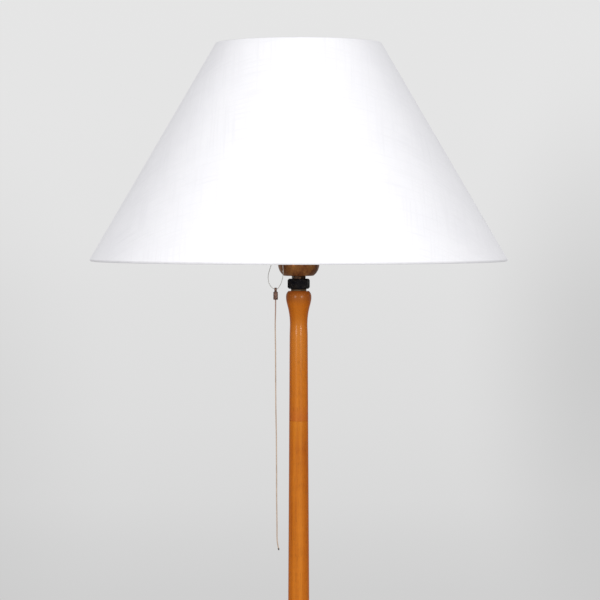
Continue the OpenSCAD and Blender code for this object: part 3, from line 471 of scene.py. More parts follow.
def evenly(route, spacing):
    lengths = [0.0]
    for a, b in zip(route, route[1:]):
        lengths.append(lengths[-1] + (b - a).length)
    count, index, even = max(2, round(lengths[-1] / spacing)), 0, []
    for step in range(count + 1):
        want = lengths[-1] * step / count
        while index < len(route) - 2 and lengths[index + 1] < want:
            index += 1
        share = (want - lengths[index]) / max(lengths[index + 1] - lengths[index], 1e-12)
        even.append(route[index].lerp(route[index + 1], min(max(share, 0), 1)))
    return even, lengths[-1]


def sweptMesh(name, route, radius, section=None, twist=0.0, closed=False, sides=12):
    curve = bpy.data.curves.new(name, "CURVE")
    curve.dimensions, curve.twist_mode = "3D", "MINIMUM"
    spline = curve.splines.new("POLY")
    spline.points.add(len(route) - 1)
    for number, (point, place) in enumerate(zip(spline.points, route)):
        point.co = (*place, 1)
        point.tilt = twist * number
    spline.use_cyclic_u = closed
    helper = None
    if section:
        shape = bpy.data.curves.new(name + "Section", "CURVE")
        outline = shape.splines.new("POLY")
        outline.points.add(len(section) - 1)
        for point, (x, y) in zip(outline.points, section):
            point.co = (x, y, 0, 1)
        outline.use_cyclic_u = True
        helper = newObject(name + "Section", shape)
        curve.bevel_mode, curve.bevel_object = "OBJECT", helper
    else:
        curve.bevel_depth, curve.bevel_resolution = radius, sides // 2 - 2
    curve.use_fill_caps = not closed
    holder = newObject(name, curve)
    mesh = finishedMesh(holder)
    bm = bmesh.new()
    bm.from_mesh(mesh)
    for thing in (holder, helper):
        if thing:
            bpy.data.objects.remove(thing)
    bpy.data.meshes.remove(mesh)
    return cleaned(bm)


def addTo(bm, part, matrix):
    bmesh.ops.transform(part, verts=part.verts, matrix=matrix)
    mesh = meshFrom(part, "part")
    bm.from_mesh(mesh)
    bpy.data.meshes.remove(mesh)


def drilled(piece, cutters):
    for place, direction, radius, depth in cutters:
        bm = bmesh.new()
        turn = Vector((0, 0, 1)).rotation_difference(Vector(direction)).to_matrix().to_4x4()
        bmesh.ops.create_cone(bm, cap_ends=True, segments=48, radius1=radius, radius2=radius, depth=depth,
                              matrix=Matrix.Translation(place) @ turn)
        drill = newObject("drill", meshFrom(bm, "drill"))
        cut = piece.modifiers.new("hole", "BOOLEAN")
        cut.operation, cut.solver, cut.object = "DIFFERENCE", "EXACT", drill
        cutMesh = finishedMesh(piece)
        bm = bmesh.new()
        bm.from_mesh(cutMesh)
        bmesh.ops.remove_doubles(bm, verts=bm.verts, dist=1e-6)
        bm.to_mesh(cutMesh)
        bm.free()
        piece.modifiers.clear()
        old, piece.data = piece.data, cutMesh
        bpy.data.meshes.remove(old)
        bpy.data.objects.remove(drill)


def threaded(bm, thread):
    low, high, pitch, depth, inner = (thread[key] * mm for key in ("low", "high", "pitch", "depth", "inner"))
    for vert in bm.verts:
        x, y, z = vert.co
        radius = math.hypot(x, y)
        if low <= z <= high and radius > inner:
            fade = min(1, (z - low) / pitch, (high - z) / pitch)
            groove = 0.5 - 0.5 * math.cos(fullTurn * (z / pitch - math.atan2(y, x) / fullTurn))
            share = 1 - depth * fade * groove / radius
            vert.co.x, vert.co.y = x * share, y * share


# pull cord, first of all the pieces

pull = {
    "ferrule": (-0.0248, -0.0177265, 1.123326),  # middle of the ferrule's lower face
    "length": 0.272, "diameter": 0.0014, "plies": 3, "lay": 0.0046, "stepLength": 0.0004, "sides": 21,
    "route": ((0, 4), (0, -2), (-0.1, -12), (-0.4, -26), (-0.3, -40), (-0.1, -55), (0, -75), (0.1, -95),
              (0.2, -115), (0.5, -132), (0.8, -150), (0.9, -170), (1.0, -190), (1.0, -210), (1.2, -228),
              (1.4, -244), (1.4, -256), (1.9, -262), (3.0, -268)),
}
under = Vector(pull["ferrule"])
cordKnots = [under + Vector((x, 0, z)) * mm for x, z in pull["route"]]
cordRoute, cordLength = evenly(smoothRoute(cordKnots, 12), pull["stepLength"])
cordSection = []
for step in range(pull["sides"]):
    angle = fullTurn * step / pull["sides"]
    lobe = 0.80 + 0.20 * abs(math.cos(pull["plies"] * angle / 2)) ** 0.7
    reach = lobe * pull["diameter"] / 2
    cordSection.append((math.cos(angle) * reach, math.sin(angle) * reach))
bm = sweptMesh("pullTwine", cordRoute, None, cordSection, fullTurn * pull["stepLength"] / pull["lay"])
pullTwine = makePiece("pullTwine", bm, "cord", "pull", ["pull_cord"], 80)

cordEnd, cordWay = cordRoute[-1], (cordRoute[-1] - cordRoute[-3]).normalized()
tipOutline = rounded([(0.0, -0.4, 0), (0.78, -0.4, 0.15), (0.84, 0.3, 0.2), (0.72, 0.6, 0.1), (0.84, 0.9, 0.2),
                      (0.74, 1.7, 0.25), (0.0, 1.9, 0)], 3)
bm = spun(tipOutline, 32)
bmesh.ops.transform(bm, verts=bm.verts, matrix=Matrix.Translation(cordEnd)
                    @ Vector((0, 0, 1)).rotation_difference(cordWay).to_matrix().to_4x4())
twineTip = makePiece("twineTip", bm, "cord_end", "pull", ["cord_tip"])
print("pull cord:", round(cordLength, 4), "m")

# ferrule and wire loop

ferrule = {"radius": 2.55, "waist": 2.2, "height": 9.0, "neck": 2.4, "eyeHole": 1.0, "eyeRadius": 1.9,
           "eyeWidth": 2.6, "ribs": 5, "ribHeight": 1.6}
outline = [(0.0, 0.0, 0), (0.85, 0.0, 0.1), (0.85, 0.35, 0.1), (2.3, 0.35, 0.2)]
for rib in range(ferrule["ribs"]):
    low = 0.5 + rib * ferrule["ribHeight"]
    outline += [(ferrule["waist"], low, 0.1), (ferrule["radius"], low + 0.4, 0.2),
                (ferrule["radius"], low + 1.2, 0.2)]
outline += [(ferrule["waist"], 8.6, 0.15), (1.35, 9.1, 0.3), (1.2, 9.9, 0.2), (0.0, 10.2, 0)]
bm = spun(rounded(outline, 3), 40)
bmesh.ops.translate(bm, verts=bm.verts, vec=under)
half = ferrule["eyeWidth"] / 2
eye = spun(rounded([(ferrule["eyeHole"], -half, 0.5), (ferrule["eyeRadius"], -half, 0.4),
                    (ferrule["eyeRadius"], half, 0.4), (ferrule["eyeHole"], half, 0.5)], 3), 36)
eyeCentre = under + Vector((0, 0, (ferrule["height"] + ferrule["neck"]) * mm))
addTo(bm, eye, Matrix.Translation(eyeCentre) @ Matrix.Rotation(math.radians(90), 4, "Y"))
makePiece("cordFerrule", bm, "ferrule", "pull", ["pull_ferrule"])

loop = {
    "eye": (-0.0235, -0.0177265, 1.174526), "wire": 0.00035,
    "points": ((0, 0), (-1.6, -0.7), (-3.2, -3.5), (-4.8, -8.5), (-6.2, -14), (-8.4, -21), (-9.3, -27.5),
               (-8.2, -33.5), (-5.4, -37.6), (-2.8, -39.4), (-1.3, -39.5), (0.2, -39.4), (2.4, -37.2), (4.9, -32),
               (6.2, -27), (6.8, -21), (6.5, -14), (5.2, -8.5), (3.4, -3.5), (1.6, -0.7)),
}
loopRoute = smoothRoute([Vector(loop["eye"]) + Vector((x, 0, z)) * mm for x, z in loop["points"]], 8, True)
bm = sweptMesh("wireLoop", loopRoute, loop["wire"], closed=True, sides=12)
makePiece("wireLoop", bm, "wire", "loop", ["pull_loop"], 80)
print("ferrule and loop made")

# turned pole in three sections

pole = {"seat": 44, "lowerJoint": 515, "upperJoint": 992, "top": 1132.6, "jointRadius": 10.35, "growth": 0.00568,
        "bore": 4.0, "edge": 0.25, "neck": 11.1, "swell": 13.8, "swellDrop": 6.9, "waist": 9.5, "waistDrop": 35.9,
        "waistRun": 13.2}


def poleRadius(z):
    return pole["jointRadius"] + (pole["upperJoint"] - z) * pole["growth"]


def straightSection(low, high):
    rise = (high - low) / 12
    rows = [low + 0.8, low + 3] + [low + rise * k for k in range(1, 12)] + [high - 3, high - 0.8]
    side = [(poleRadius(z), z, 0) for z in rows]
    return rounded([(pole["bore"], low, 0), (poleRadius(low), low, pole["edge"])] + side
                   + [(poleRadius(high), high, pole["edge"]), (pole["bore"], high, 0)], 3)


joint = pole["upperJoint"]
makePiece("poleLower", spun(straightSection(pole["seat"], pole["lowerJoint"])), "wood", "stand", ["pole_lower"])
bm = spun(straightSection(pole["lowerJoint"], joint))
makePiece("poleMiddle", bm, "woodMiddle", "stand", ["pole_middle"])
waistZ, swellZ = pole["top"] - pole["waistDrop"], pole["top"] - pole["swellDrop"]
runZ = waistZ - pole["waistRun"]
flankZ = swellZ - (swellZ - waistZ) * 0.37
flankR = pole["waist"] + (pole["swell"] - pole["waist"]) * 0.52
shape = eased([(runZ, poleRadius(runZ), -pole["growth"]), (waistZ, pole["waist"], 0), (flankZ, flankR, 0.25),
               (swellZ, pole["swell"], 0), (pole["top"], pole["neck"], -1.1)], 14)
start = rounded([(pole["bore"], joint, 0), (poleRadius(joint), joint, pole["edge"])]
                + [(poleRadius(z), z, 0) for z in (joint + 0.8, joint + 3, joint + 48)], 3)
bm = spun(start + shape + [(pole["bore"], pole["top"])])
makePiece("poleTop", bm, "woodTop", "stand", ["pole_top"])
print("pole made")

# collar and nuts: a turned blank, slightly under the hexagon's corners, cut flat on six sides

nutCornerEase = 0.2


def hexNut(nut):
    low, high, chamfer, bore = nut["low"], nut["top"], nut["chamfer"], nut["bore"]
    corner = nut["flats"] / 2 / math.cos(math.radians(30)) - nutCornerEase
    bm = spun([(bore, low), (corner - chamfer, low), (corner, low + chamfer), (corner, high - chamfer),
               (corner - chamfer, high), (bore, high)], 120)
    for side in range(6):
        angle = math.radians(30 + 60 * side)
        normal = Vector((math.cos(angle), math.sin(angle), 0))
        cut = bmesh.ops.bisect_plane(bm, geom=bm.verts[:] + bm.edges[:] + bm.faces[:], dist=1e-7,
                                     plane_co=normal * nut["flats"] / 2 * mm, plane_no=normal, clear_outer=True)
        bmesh.ops.edgeloop_fill(bm, edges=[e for e in cut["geom_cut"] if isinstance(e, bmesh.types.BMEdge)])
    bmesh.ops.remove_doubles(bm, verts=bm.verts, dist=1e-6)
    bmesh.ops.rotate(bm, verts=bm.verts, cent=(0, 0, 0), matrix=Matrix.Rotation(math.radians(nut["turn"]), 3, "Z"))
    bmesh.ops.recalc_face_normals(bm, faces=bm.faces)
    if bm.calc_volume(signed=True) < 0:
        bmesh.ops.reverse_faces(bm, faces=bm.faces)
    return bm


collar = {"low": 1135.0, "top": 1145.8, "flats": 21.6, "chamfer": 1.7, "bore": 5.05, "turn": 13.5,
          "flangeR": 8.4, "flangeLow": 1132.6}
bm = hexNut(collar)
flangeTop = collar["low"] + 0.2
spun(rounded([(collar["bore"], collar["flangeLow"], 0), (collar["flangeR"], collar["flangeLow"], 0.35),
              (collar["flangeR"], flangeTop, 0), (collar["bore"], flangeTop, 0)], 3), 96, bm)
makePiece("collarNut", bm, "collar", "stand", ["collar_nut"])
lockNut = {"low": 1145.8, "top": 1149.0, "flats": 13.6, "chamfer": 0.5, "bore": 5.05, "turn": -13.5}
makePiece("lockNut", hexNut(lockNut), "nutPatinaAndShade", "stand", ["lock_nut"])

# lampholder: cup, threaded skirt, shade rings, bulb

cup = {"low": 1149.0, "rim": 1166.0, "radius": 22.3, "round": 15.3, "shoulder": 12.5, "sheet": 0.8, "boss": 7.5,
       "bossTop": 1156.8, "bore": 5.05, "uneven": 0.10}


def cupArc(inset):
    centre, radius = cup["radius"] - cup["round"], cup["round"] - inset
    first = math.asin((cup["shoulder"] - inset) / radius)
    arc = []
    for step in range(21):
        angle = -first * (1 - step / 20)
        arc.append((centre + radius * math.cos(angle), cup["low"] + cup["shoulder"] + radius * math.sin(angle)))
    return arc


outer, inner = cupArc(0), cupArc(cup["sheet"])
corner = outer[0]
wide, narrow, low, rim = cup["radius"], cup["radius"] - cup["sheet"], cup["low"], cup["rim"]
softCorner = rounded([(corner[0] - 3, low, 0), (corner[0], low, 0.5), (*outer[1], 0)], 4)[1:-1]
cupOutline = ([(cup["bore"], low), (10.0, low)] + softCorner + outer[2:]
              + rounded([(wide, rim - 1, 0), (wide, rim, 0.3), (narrow, rim, 0.3), (narrow, rim - 1, 0)], 3)
              + inner[::-1] + [(cup["boss"], low + cup["sheet"]), (cup["boss"], cup["bossTop"]),
                               (cup["bore"], cup["bossTop"])])
bm = spun(cupOutline, 144)
for vert in bm.verts:  # a spun sheet cup is never quite true
    push = cup["uneven"] * mm * noise.noise(vert.co * 70 + Vector((3, 1, 2)))
    flat = Vector((vert.co.x, vert.co.y, 0))
    if flat.length > 9 * mm:
        vert.co += flat.normalized() * push
makePiece("holderCup", bm, "patina_brass", "stand", ["holder_cup"], 50)

skirt = {"low": 1161.7, "step": 1190.0, "top": 1213.0, "radius": 21.45, "threadR": 19.9, "ledge": 1184.2,
         "sheet": 0.8, "rowStep": 0.3, "shaftHole": ((-0.0214, 0, 1.1719), (1, 0, 0), 0.0026, 0.004),
         "thread": {"low": 1190.8, "high": 1212.6, "pitch": 2.4, "depth": 0.5, "inner": 19.65}}
wide, narrow, sheet = skirt["radius"], skirt["threadR"], skirt["sheet"]
rows = int((skirt["top"] - skirt["step"] - 1) / skirt["rowStep"])
threadRows = [(narrow, skirt["step"] + 0.6 + skirt["rowStep"] * k, 0) for k in range(rows)]
bm = spun(rounded([(wide - sheet, skirt["low"], 0.2), (wide, skirt["low"], 0.2), (wide, skirt["step"], 0.5),
                   (narrow, skirt["step"], 0.15)] + threadRows
                  + [(narrow, skirt["top"], 0.2), (narrow - sheet, skirt["top"], 0.2),
                     (narrow - sheet, skirt["ledge"], 0), (wide - sheet, skirt["ledge"], 0)], 3), 120)
threaded(bm, skirt["thread"])
holderSkirt = makePiece("holderSkirt", bm, "patina_brass", "stand", ["holder_skirt"])
drilled(holderSkirt, [skirt["shaftHole"]])

# each flange: its radius, then the ring's underside, top and step
shadeRings = {"bore": 19.95, "bossR": 22.4, "notches": 30, "notchDepth": 0.35,
              "flanges": {"lower": (28.0, 1197.0, 1201.0, 1199.4), "upper": (26.0, 1202.5, 1206.5, 1204.1)}}
for place, (wideR, low, high, step) in shadeRings["flanges"].items():
    lowR, highR, lowEdge, highEdge = shadeRings["bossR"], wideR, 0.4, 0.2
    if place == "upper":
        lowR, highR, lowEdge, highEdge = highR, lowR, highEdge, lowEdge
    bm = spun(rounded([(shadeRings["bore"], low, 0.2), (lowR, low, lowEdge), (lowR, step, 0.3), (highR, step, 0.3),
                       (highR, high, highEdge), (shadeRings["bore"], high, 0.2)], 3), 120)
    for vert in bm.verts:  # grip notches round the rim
        flat = math.hypot(vert.co.x, vert.co.y)
        if flat > (wideR - 0.6) * mm:
            angle = math.atan2(vert.co.y, vert.co.x)
            notch = shadeRings["notchDepth"] * mm * max(0, math.cos(shadeRings["notches"] * angle)) ** 3
            vert.co.x, vert.co.y = vert.co.x * (1 - notch / flat), vert.co.y * (1 - notch / flat)
    makePiece(f"shadeRing_{place}", bm, "patina_brass", "stand", [f"shade_ring_{place}"])

bulb = {"capLow": 1191.6, "glassLow": 1215.6, "top": 1292.2, "capR": 13.1, "capInR": 12.7, "endR": 10.1,
        "endInR": 9.7, "neck": 13.4, "ball": 30.0, "flare": 40.0, "wall": 0.8,
        "thread": {"low": 1195.0, "high": 1212.5, "pitch": 3.6, "depth": 0.7, "inner": 12.8}}
capLow, capHigh, capR = bulb["capLow"], bulb["glassLow"], bulb["capR"]
capRows = [(capR, capLow + 3.4 + 0.4 * k, 0) for k in range(46)]
bm = spun(rounded([(bulb["endInR"], capLow, 0), (bulb["endR"], capLow, 0), (capR, capLow + 3, 0.3)] + capRows
                  + [(capR, capHigh, 0.2), (bulb["capInR"], capHigh, 0), (bulb["capInR"], capLow + 3.2, 0)], 3), 96)
threaded(bm, bulb["thread"])
makePiece("bulbCap", bm, "cap_metal", "stand", ["bulb_cap"], 60)


def glassProfile(inset):
    radius = bulb["ball"] - inset
    centreZ = bulb["top"] - bulb["ball"]
    flare = math.radians(bulb["flare"])
    meet = (centreZ - radius * math.sin(flare), radius * math.cos(flare), math.tan(flare))
    points = eased([(bulb["glassLow"], bulb["neck"] - inset, 0), meet], 20)
    for step in range(1, 49):
        angle = -flare + (math.pi / 2 + flare) * step / 48
        points.append((max(radius * math.cos(angle), 0), centreZ + radius * math.sin(angle)))
    return points


outerGlass, innerGlass = glassProfile(0), glassProfile(bulb["wall"])
bm = spun(outerGlass + innerGlass[::-1], 128)
makePiece("bulbGlass", bm, "opal_glass", "stand", ["bulb_glass"])
print("lampholder and bulb made")

# carrier: two rings soldered to three bent wires
carrier = {"rings": {"low": (20.1, 32.0, 1201.0, 1202.5), "top": (46.0, 54.0, 1372.0, 1374.0)},
           "route": ((29, 1202.5, 0), (29, 1210.5, 5), (43, 1228.5, 5), (50, 1364, 5), (50, 1372, 0)),
           "solder": ((0, 0, 0), (2.9, 0, 0.2), (1.9, 0.5, 0.8), (1.55, 2.2, 0.2), (0, 2.4, 0)),
           "wire": 3.0, "count": 3, "first": 30, "spacing": 0.003}


def turnsOf(wires):
    return [Matrix.Rotation(math.radians(wires["first"] + 360 / wires["count"] * number), 4, "Z")
            for number in range(wires["count"])]


def wireRoute(wires):
    return evenly([Vector((r, 0, z)) * mm for r, z in rounded(wires["route"], 8)], wires["spacing"])[0]


for place, node in (("low", "carrier_lower_ring"), ("top", "carrier_upper_ring")):
    inR, outR, low, high = carrier["rings"][place]
    bm = spun(rounded([(inR, low, 0.25), (outR, low, 0.45), (outR, high, 0.45), (inR, high, 0.25)], 3), 120)
    makePiece(f"carrierRing_{place}", bm, "brass", "stand", [node])
bm = bmesh.new()
for turn in turnsOf(carrier):
    addTo(bm, sweptMesh("carrierWire", wireRoute(carrier), carrier["wire"] / 2 * mm, sides=20), turn)
    for (r, z, _), over in ((carrier["route"][0], 0), (carrier["route"][-1], math.pi)):  # fillet of solder
        addTo(bm, spun(rounded(carrier["solder"], 4), 28),
              turn @ Matrix.Translation((r * mm, 0, z * mm)) @ Matrix.Rotation(over, 4, "X"))
makePiece("carrierWires", bm, "brass", "stand", ["carrier_wires"])

# spider: a lipped ring that rests on the carrier, and three spokes welded to it
spider = {"ring": ((44.1, 1367.3, 0.3), (45.6, 1367.3, 0.3), (45.6, 1374.3, 0.5), (56.0, 1374.3, 0.4),
                   (56.0, 1375.8, 0.4), (44.1, 1375.8, 1.2)),
          "route": ((46.5, 1376.9, 0), (53.5, 1376.9, 4), (87.4, 1397.3, 0)),
          "wire": 2.4, "count": 3, "first": 90, "spacing": 0.0015}
bm = spun(rounded(spider["ring"], 5), 144)
for turn in turnsOf(spider):
    addTo(bm, sweptMesh("spoke", wireRoute(spider), spider["wire"] / 2 * mm, sides=18), turn)
makePiece("shadeSpider", bm, "white_metal", "shade", ["shade_spider"])

# switch crank and the end of its shaft
crank = {"shaftZ": 1171.9, "side": (-24.1, -22.9), "hub": 3.8, "arm": 2.2, "length": 18.0, "rest": 10.0,
         "softEdge": 0.22, "shaftR": 2.0, "tipR": 1.6, "play": 0.05, "eyeR": 1.2, "shaftEnds": (-24.7, 9.0)}
hubStart = math.asin(crank["arm"] / crank["hub"])
outline = [(crank["hub"] * math.cos(a), crank["hub"] * math.sin(a))
           for a in (hubStart + (fullTurn - 2 * hubStart) * k / 32 for k in range(33))]
outline += [(crank["length"] + crank["arm"] * math.sin(a), -crank["arm"] * math.cos(a)) for a in
            (math.pi * k / 20 for k in range(21))]
bm = bmesh.new()
plate = bm.faces.new([bm.verts.new((x * mm, y * mm, 0)) for x, y in outline])
lifted = bmesh.ops.extrude_face_region(bm, geom=[plate])
thickness = (crank["side"][1] - crank["side"][0]) * mm
liftedVerts = [v for v in lifted["geom"] if isinstance(v, bmesh.types.BMVert)]
bmesh.ops.translate(bm, verts=liftedVerts, vec=(0, 0, thickness))
rest = math.radians(crank["rest"])
along, across = Vector((0, -math.cos(rest), math.sin(rest))), Vector((0, -math.sin(rest), -math.cos(rest)))
pose = Matrix((along, across, Vector((1, 0, 0)))).transposed().to_4x4()
hubPlace = Vector((crank["side"][0], 0, crank["shaftZ"])) * mm
bmesh.ops.transform(bm, verts=bm.verts, matrix=Matrix.Translation(hubPlace) @ pose)
bmesh.ops.recalc_face_normals(bm, faces=bm.faces)
crankPiece = makePiece("switchCrank", bm, "steel", "switch", ["switch_crank"])
eyePlace = hubPlace + along * crank["length"] * mm
drilled(crankPiece, [(hubPlace, (1, 0, 0), (crank["shaftR"] + crank["play"]) * mm, 0.01),
                     (eyePlace, (1, 0, 0), crank["eyeR"] * mm, 0.01)])
bevel = crankPiece.modifiers.new("softEdges", "BEVEL")
bevel.width, bevel.segments, bevel.limit_method = crank["softEdge"] * mm, 2, "ANGLE"
bevel.angle_limit = math.radians(34)
first, last = crank["shaftEnds"]
bm = spun(rounded([(0, first, 0), (crank["tipR"], first, 0.2), (crank["shaftR"], first + 0.4, 0.2),
                   (crank["shaftR"], last, 0.3), (0, last, 0)], 4), 48)
bmesh.ops.transform(bm, verts=bm.verts, matrix=Matrix.Translation((0, 0, crank["shaftZ"] * mm))
                    @ Matrix.Rotation(math.pi / 2, 4, "Y"))
makePiece("switchShaft", bm, "steel", "switch", ["switch_shaft"])
print("carrier, spider and crank made")

# shade

shade = {"lowBead": (223.4, 1166.6), "topBead": (88.4, 1397.9), "bead": 1.6, "cloth": 0.36, "lap": 10.0,
         "lapLift": 0.42, "lapEase": 5.0, "uneven": 0.10, "around": 288, "wallRows": 30, "rollTurn": 196,
         "hem": 7.0, "hemGap": 0.06, "linerDepths": (0.62, 1.40), "gap": 1.8}
lowBead, topBead = Vector(shade["lowBead"]), Vector(shade["topBead"])
wallWay = (topBead - lowBead).normalized()
wallOut = Vector((wallWay.y, -wallWay.x))
slant = (topBead - lowBead).length
lean = math.atan2(wallOut.y, wallOut.x)
cone = -wallWay.x  # share of the slant that the radius takes


def onWall(along, out):
    return lowBead + wallWay * along + wallOut * out


def rollPoints(centre, start, sweep, hemWay):
    points = []
    for step in range(1, 19):
        angle = start + sweep * step / 18
        points.append(centre + shade["bead"] * Vector((math.cos(angle), math.sin(angle))))
    inside = shade["bead"] - shade["linerDepths"][1] - shade["hemGap"] - shade["cloth"]
    for along in (1.8, 2.6, 4.0, shade["hem"]):
        ease = min(1, max(0, (along - 1.0) / 1.8))
        points.append(centre + hemWay * along + wallOut * (-shade["bead"] * (1 - ease) + inside * ease))
    return points


lowRoll = rollPoints(lowBead, lean, -math.radians(shade["rollTurn"]), wallWay)
topRoll = rollPoints(topBead, lean, math.radians(shade["rollTurn"]), -wallWay)
wall = [onWall(slant * k / shade["wallRows"], shade["bead"]) for k in range(shade["wallRows"] + 1)]
profile = lowRoll[::-1] + wall + topRoll
outwards = []  # the way out of the cloth at each row of the profile
for index in range(len(profile)):
    step = profile[min(index + 1, len(profile) - 1)] - profile[max(index - 1, 0)]
    outwards.append(Vector((step.y, -step.x)).normalized())
reach = [0.0] * len(profile)  # distance of each row from the cone's tip, in the flat cut
first = len(lowRoll)
reach[first] = wall[0].x / cone
for index in range(first + 1, len(profile)):
    reach[index] = reach[index - 1] - (profile[index] - profile[index - 1]).length
for index in range(first - 1, -1, -1):
    reach[index] = reach[index + 1] + (profile[index] - profile[index + 1]).length

bm = bmesh.new()
rowCount, columnCount = len(profile) - 1, shade["around"]
bmesh.ops.create_grid(bm, x_segments=columnCount, y_segments=rowCount, size=1)
flatCut = {}
for vert in bm.verts:
    column = round((vert.co.x + 1) / 2 * columnCount)
    row = round((vert.co.y + 1) / 2 * rowCount)
    point, out = profile[row], outwards[row]
    angle = -math.pi + (fullTurn + shade["lap"] / max(point.x, 80)) * column / columnCount
    flatCut[vert.index] = (reach[row] * mm * math.sin(angle * cone), -reach[row] * mm * math.cos(angle * cone))
    overlap = (angle - math.pi) * point.x + shade["lapEase"]
    lift = shade["lapLift"] * min(1, max(0, overlap / shade["lapEase"]))
    if first + 2 < row < first + shade["wallRows"] - 2:  # off the rolls the cloth isn't pulled quite evenly
        lift += shade["uneven"] * noise.noise(Vector((math.sin(angle) * 3.1, math.cos(angle) * 3.1, row * 0.16)))
    r, z = point.x + out.x * lift, point.y + out.y * lift
    vert.co = (r * mm * math.sin(angle), -r * mm * math.cos(angle), z * mm)
cloth = bm.loops.layers.uv.new("cloth")
for face in bm.faces:
    for corner in face.loops:
        corner[cloth].uv = flatCut[corner.vert.index]
bm.normal_update()
probe = min(bm.faces, key=lambda f: (f.calc_center_median() - Vector((0, -0.155, 1.285))).length)
if probe.normal.y > 0:
    bmesh.ops.reverse_faces(bm, faces=bm.faces)
shadeLinen = makePiece("shadeLinen", bm, "linen", "shade",
                       ["shade_cover", "shade_top_roll", "shade_bottom_roll"], 120)
thick = shadeLinen.modifiers.new("clothThickness", "SOLIDIFY")
thick.thickness, thick.offset = shade["cloth"] * mm, -1

near, far = shade["linerDepths"]
linerRows = [shade["gap"] + (slant - 2 * shade["gap"]) * k / 8 for k in range(9)]
outline = [tuple(onWall(a, shade["bead"] - near)) for a in linerRows]
outline += [tuple(onWall(a, shade["bead"] - far)) for a in linerRows[::-1]]
makePiece("shadeLiner", spun(outline, 240), "liner", "shade", ["shade_liner"])
print("shade made")

# foot and felt

foot = {"radius": 140, "low": 2, "edge": 32, "round": 10, "dome": (38, 35), "hub": (20, 44), "bore": 5.1,
        "pocket": (100.2, 14.2), "recess": (19.2, 24)}
edgeArc = []
for step in range(13):
    angle = math.pi / 2 * step / 12
    edgeArc.append((foot["radius"] - foot["round"] * (1 - math.cos(angle)),
                    foot["edge"] - foot["round"] * (1 - math.sin(angle))))


def easedRow(r0, z0, slope0, r1, z1, slope1, steps):
    row = []
    for step in range(1, steps + 1):
        t = step / steps
        row.append((r0 + (r1 - r0) * t, easing(t, z0, slope0, z1, slope1)))
    return row


rimR, low = foot["radius"], foot["low"]
(domeR, domeZ), (hubR, hubZ) = foot["dome"], foot["hub"]
(pocketR, pocketZ), (recessR, recessZ) = foot["pocket"], foot["recess"]
footOutline = (rounded([(pocketR, low, 0.4), (rimR - 1.5, low, 0.8), (rimR, low + 1.5, 0.8), (rimR, low + 10, 0)], 4)
               + edgeArc + easedRow(rimR - foot["round"], foot["edge"], 0, domeR, domeZ, 3, 24)
               + easedRow(domeR, domeZ, 1, hubR, hubZ, 18, 22)[:-1]
               + rounded([(hubR + 0.4, hubZ - 0.6, 0), (hubR, hubZ, 0.3), (foot["bore"], hubZ, 0.2),
                          (foot["bore"], recessZ, 0)], 3)[1:]
               + [(recessR, recessZ), (recessR, pocketZ), (pocketR, pocketZ)])
footPiece = makePiece("footWood", spun(footOutline, 192), "woodFoot", "stand", ["base_foot"])

# cord outlet at the back; each hole: middle, way, radius and length
outlet = {"mouth": (0, 0.140, 0.020),
          "holes": (((0, 0.120, 0.020), (0, 1, 0), 0.00455, 0.060), ((0, 0.143, 0.020), (0, 1, 0), 0.00655, 0.010)),
          "bushing": ((3.5, 0, 0.6), (6.4, 0, 0.7), (6.5, -2, 0.2), (4.5, -2, 0.2), (4.5, -16, 0.2), (3.5, -16, 0.2))}
drilled(footPiece, outlet["holes"])
bm = spun(rounded(outlet["bushing"], 4), 64)
bmesh.ops.rotate(bm, verts=bm.verts, cent=(0, 0, 0), matrix=Matrix.Rotation(math.radians(-90), 3, "X"))
bmesh.ops.translate(bm, verts=bm.verts, vec=outlet["mouth"])
makePiece("cordBushing", bm, "bakelite", "stand", ["cord_bushing"])

footNut = {"low": 16, "top": 22, "flats": 17, "chamfer": 1.0, "bore": 5.05, "turn": 0}
makePiece("footNut", hexNut(footNut), "steel", "stand", ["foot_nut"])
washer = {"low": 22, "top": 24, "radius": 19, "bore": 5.05}
bm = spun(rounded([(washer["bore"], washer["low"], 0.2), (washer["radius"], washer["low"], 0.5),
                   (washer["radius"], washer["top"], 0.3), (washer["bore"], washer["top"], 0.2)], 3), 96)
makePiece("footWasher", bm, "steel", "stand", ["foot_washer"])

feltPad = {"outer": 133.0, "hole": 30.0, "thick": 2.0, "raggedBand": 1.5, "ragged": 0.25, "fluff": 0.15}
feltRows = [(feltPad["hole"] + (feltPad["outer"] - feltPad["hole"]) * k / 20, 0.0, 0) for k in range(21)]
upper = [(r, feltPad["thick"], 0) for r, _, _ in feltRows[::-1]]
soften = [(r, z, 0.5 if r in (feltPad["hole"], feltPad["outer"]) else 0) for r, z, _ in feltRows + upper]
bm = spun(rounded(soften, 3), 216)
raggedIn, raggedOut = (feltPad["hole"] + feltPad["raggedBand"]) * mm, (feltPad["outer"] - feltPad["raggedBand"]) * mm
for vert in bm.verts:  # cut felt has a slightly ragged, furry edge
    flat = Vector((vert.co.x, vert.co.y, 0))
    ragged = noise.noise(vert.co * 420) * feltPad["ragged"] * mm
    if not raggedIn <= flat.length <= raggedOut:
        vert.co += flat.normalized() * ragged
    if vert.co.z < feltPad["thick"] / 2 * mm:
        vert.co.z = max(0, vert.co.z + abs(noise.noise(vert.co * 160)) * feltPad["fluff"] * mm)
feltPiece = makePiece("feltPad", bm, "felt", "stand", ["base_felt"])
print("foot made")

# floor, background light and lamps

floor = {"radius": 4.3, "level": -0.0004, "tones": ((0.565, 0.565, 0.56), (0.595, 0.595, 0.59))}
bm = bmesh.new()
bmesh.ops.create_circle(bm, cap_ends=True, segments=160, radius=floor["radius"])
bmesh.ops.translate(bm, verts=bm.verts, vec=(0, 0, floor["level"]))
studioFloor = newObject("studioFloor", meshFrom(bm, "studioFloor"))
studioFloor.data.materials.append(makePaint("studioFloor", floor["tones"], (0.65, 0.75), scale=3))

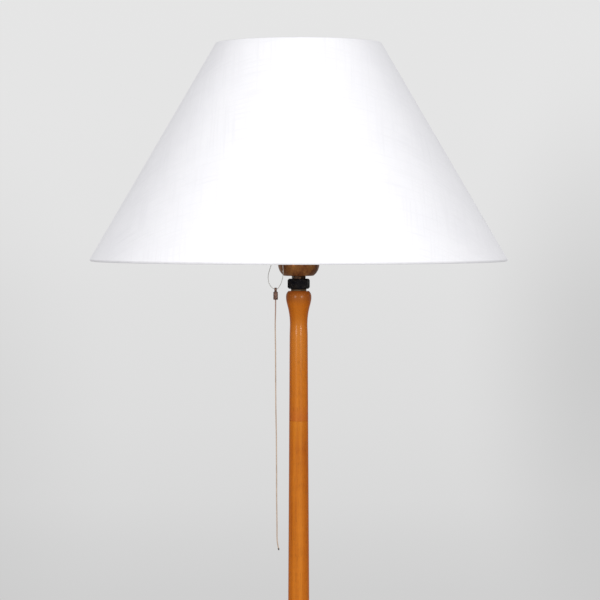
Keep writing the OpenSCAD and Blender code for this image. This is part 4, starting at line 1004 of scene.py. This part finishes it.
# pale wall behind the lamp, paler above, with a soft darker patch on each side, and the dimmer room around it;
# each patch: its middle and half sizes, as a direction from the lamp, and how much darker it is
backWall = {"heights": (-0.16, 0.10), "edge": (0.93, 0.975), "roomLevel": 0.77,
            "light": ((0.01, 0.631), (0.09, 0.660), (0.16, 0.694), (0.29, 0.723), (0.49, 0.748), (0.59, 0.768),
                      (0.78, 0.782), (0.97, 0.787)),
            "patches": (((0.1325, -0.059), (0.070, 0.140), 0.17), ((-0.165, -0.085), (0.095, 0.150), 0.09))}
world = bpy.data.worlds.new("paleStudio")
world.use_nodes = True
bpy.context.scene.world = world
tree = world.node_tree
way = addNode(tree, "SeparateXYZ", {"Vector": addNode(tree, "TexCoord").outputs["Generated"]})
low, high = backWall["heights"]
height = addNode(tree, "MapRange", {"Value": way.outputs[2], "From Min": low, "From Max": high}).outputs[0]
tone = ramp(tree, height, *backWall["light"])
for centre, size, drop in backWall["patches"]:
    squares = []
    for axis, middle, width in zip((0, 2), centre, size):
        aside = maths(tree, "DIVIDE", maths(tree, "SUBTRACT", way.outputs[axis], middle), width)
        squares.append(maths(tree, "POWER", aside, 2.0))
    distance = maths(tree, "SQRT", maths(tree, "ADD", *squares))
    tone = mixed(tree, 1.0, tone, between(tree, distance, 0.0, 1.0, 1 - drop, 1.0), "MULTIPLY")
room = between(tree, way.outputs[1], *backWall["edge"], backWall["roomLevel"], 1.0)
tone = mixed(tree, 1.0, tone, room, "MULTIPLY")
tree.links.new(tone, tree.nodes["Background"].inputs[0])
tree.nodes["Background"].inputs[1].default_value = 1.0

softLights = {"size": (0.56, 0.40), "aim": (0, 0, 1.17),
              "places": {"left": ((-1.27, -2.16, 1.30), 25.2), "right": ((1.17, -2.21, 1.30), 28.5)}}
for name, (place, power) in softLights["places"].items():
    lamp = newObject(name, bpy.data.lights.new(name, "AREA"))
    lamp.data.shape, lamp.data.energy = "RECTANGLE", power
    lamp.data.size, lamp.data.size_y = softLights["size"]
    lamp.location = place
    lamp.rotation_euler = (Vector(softLights["aim"]) - Vector(place)).to_track_quat("-Z", "Y").to_euler()
bpy.context.scene.view_settings.view_transform = "Standard"
print("stage and light made")
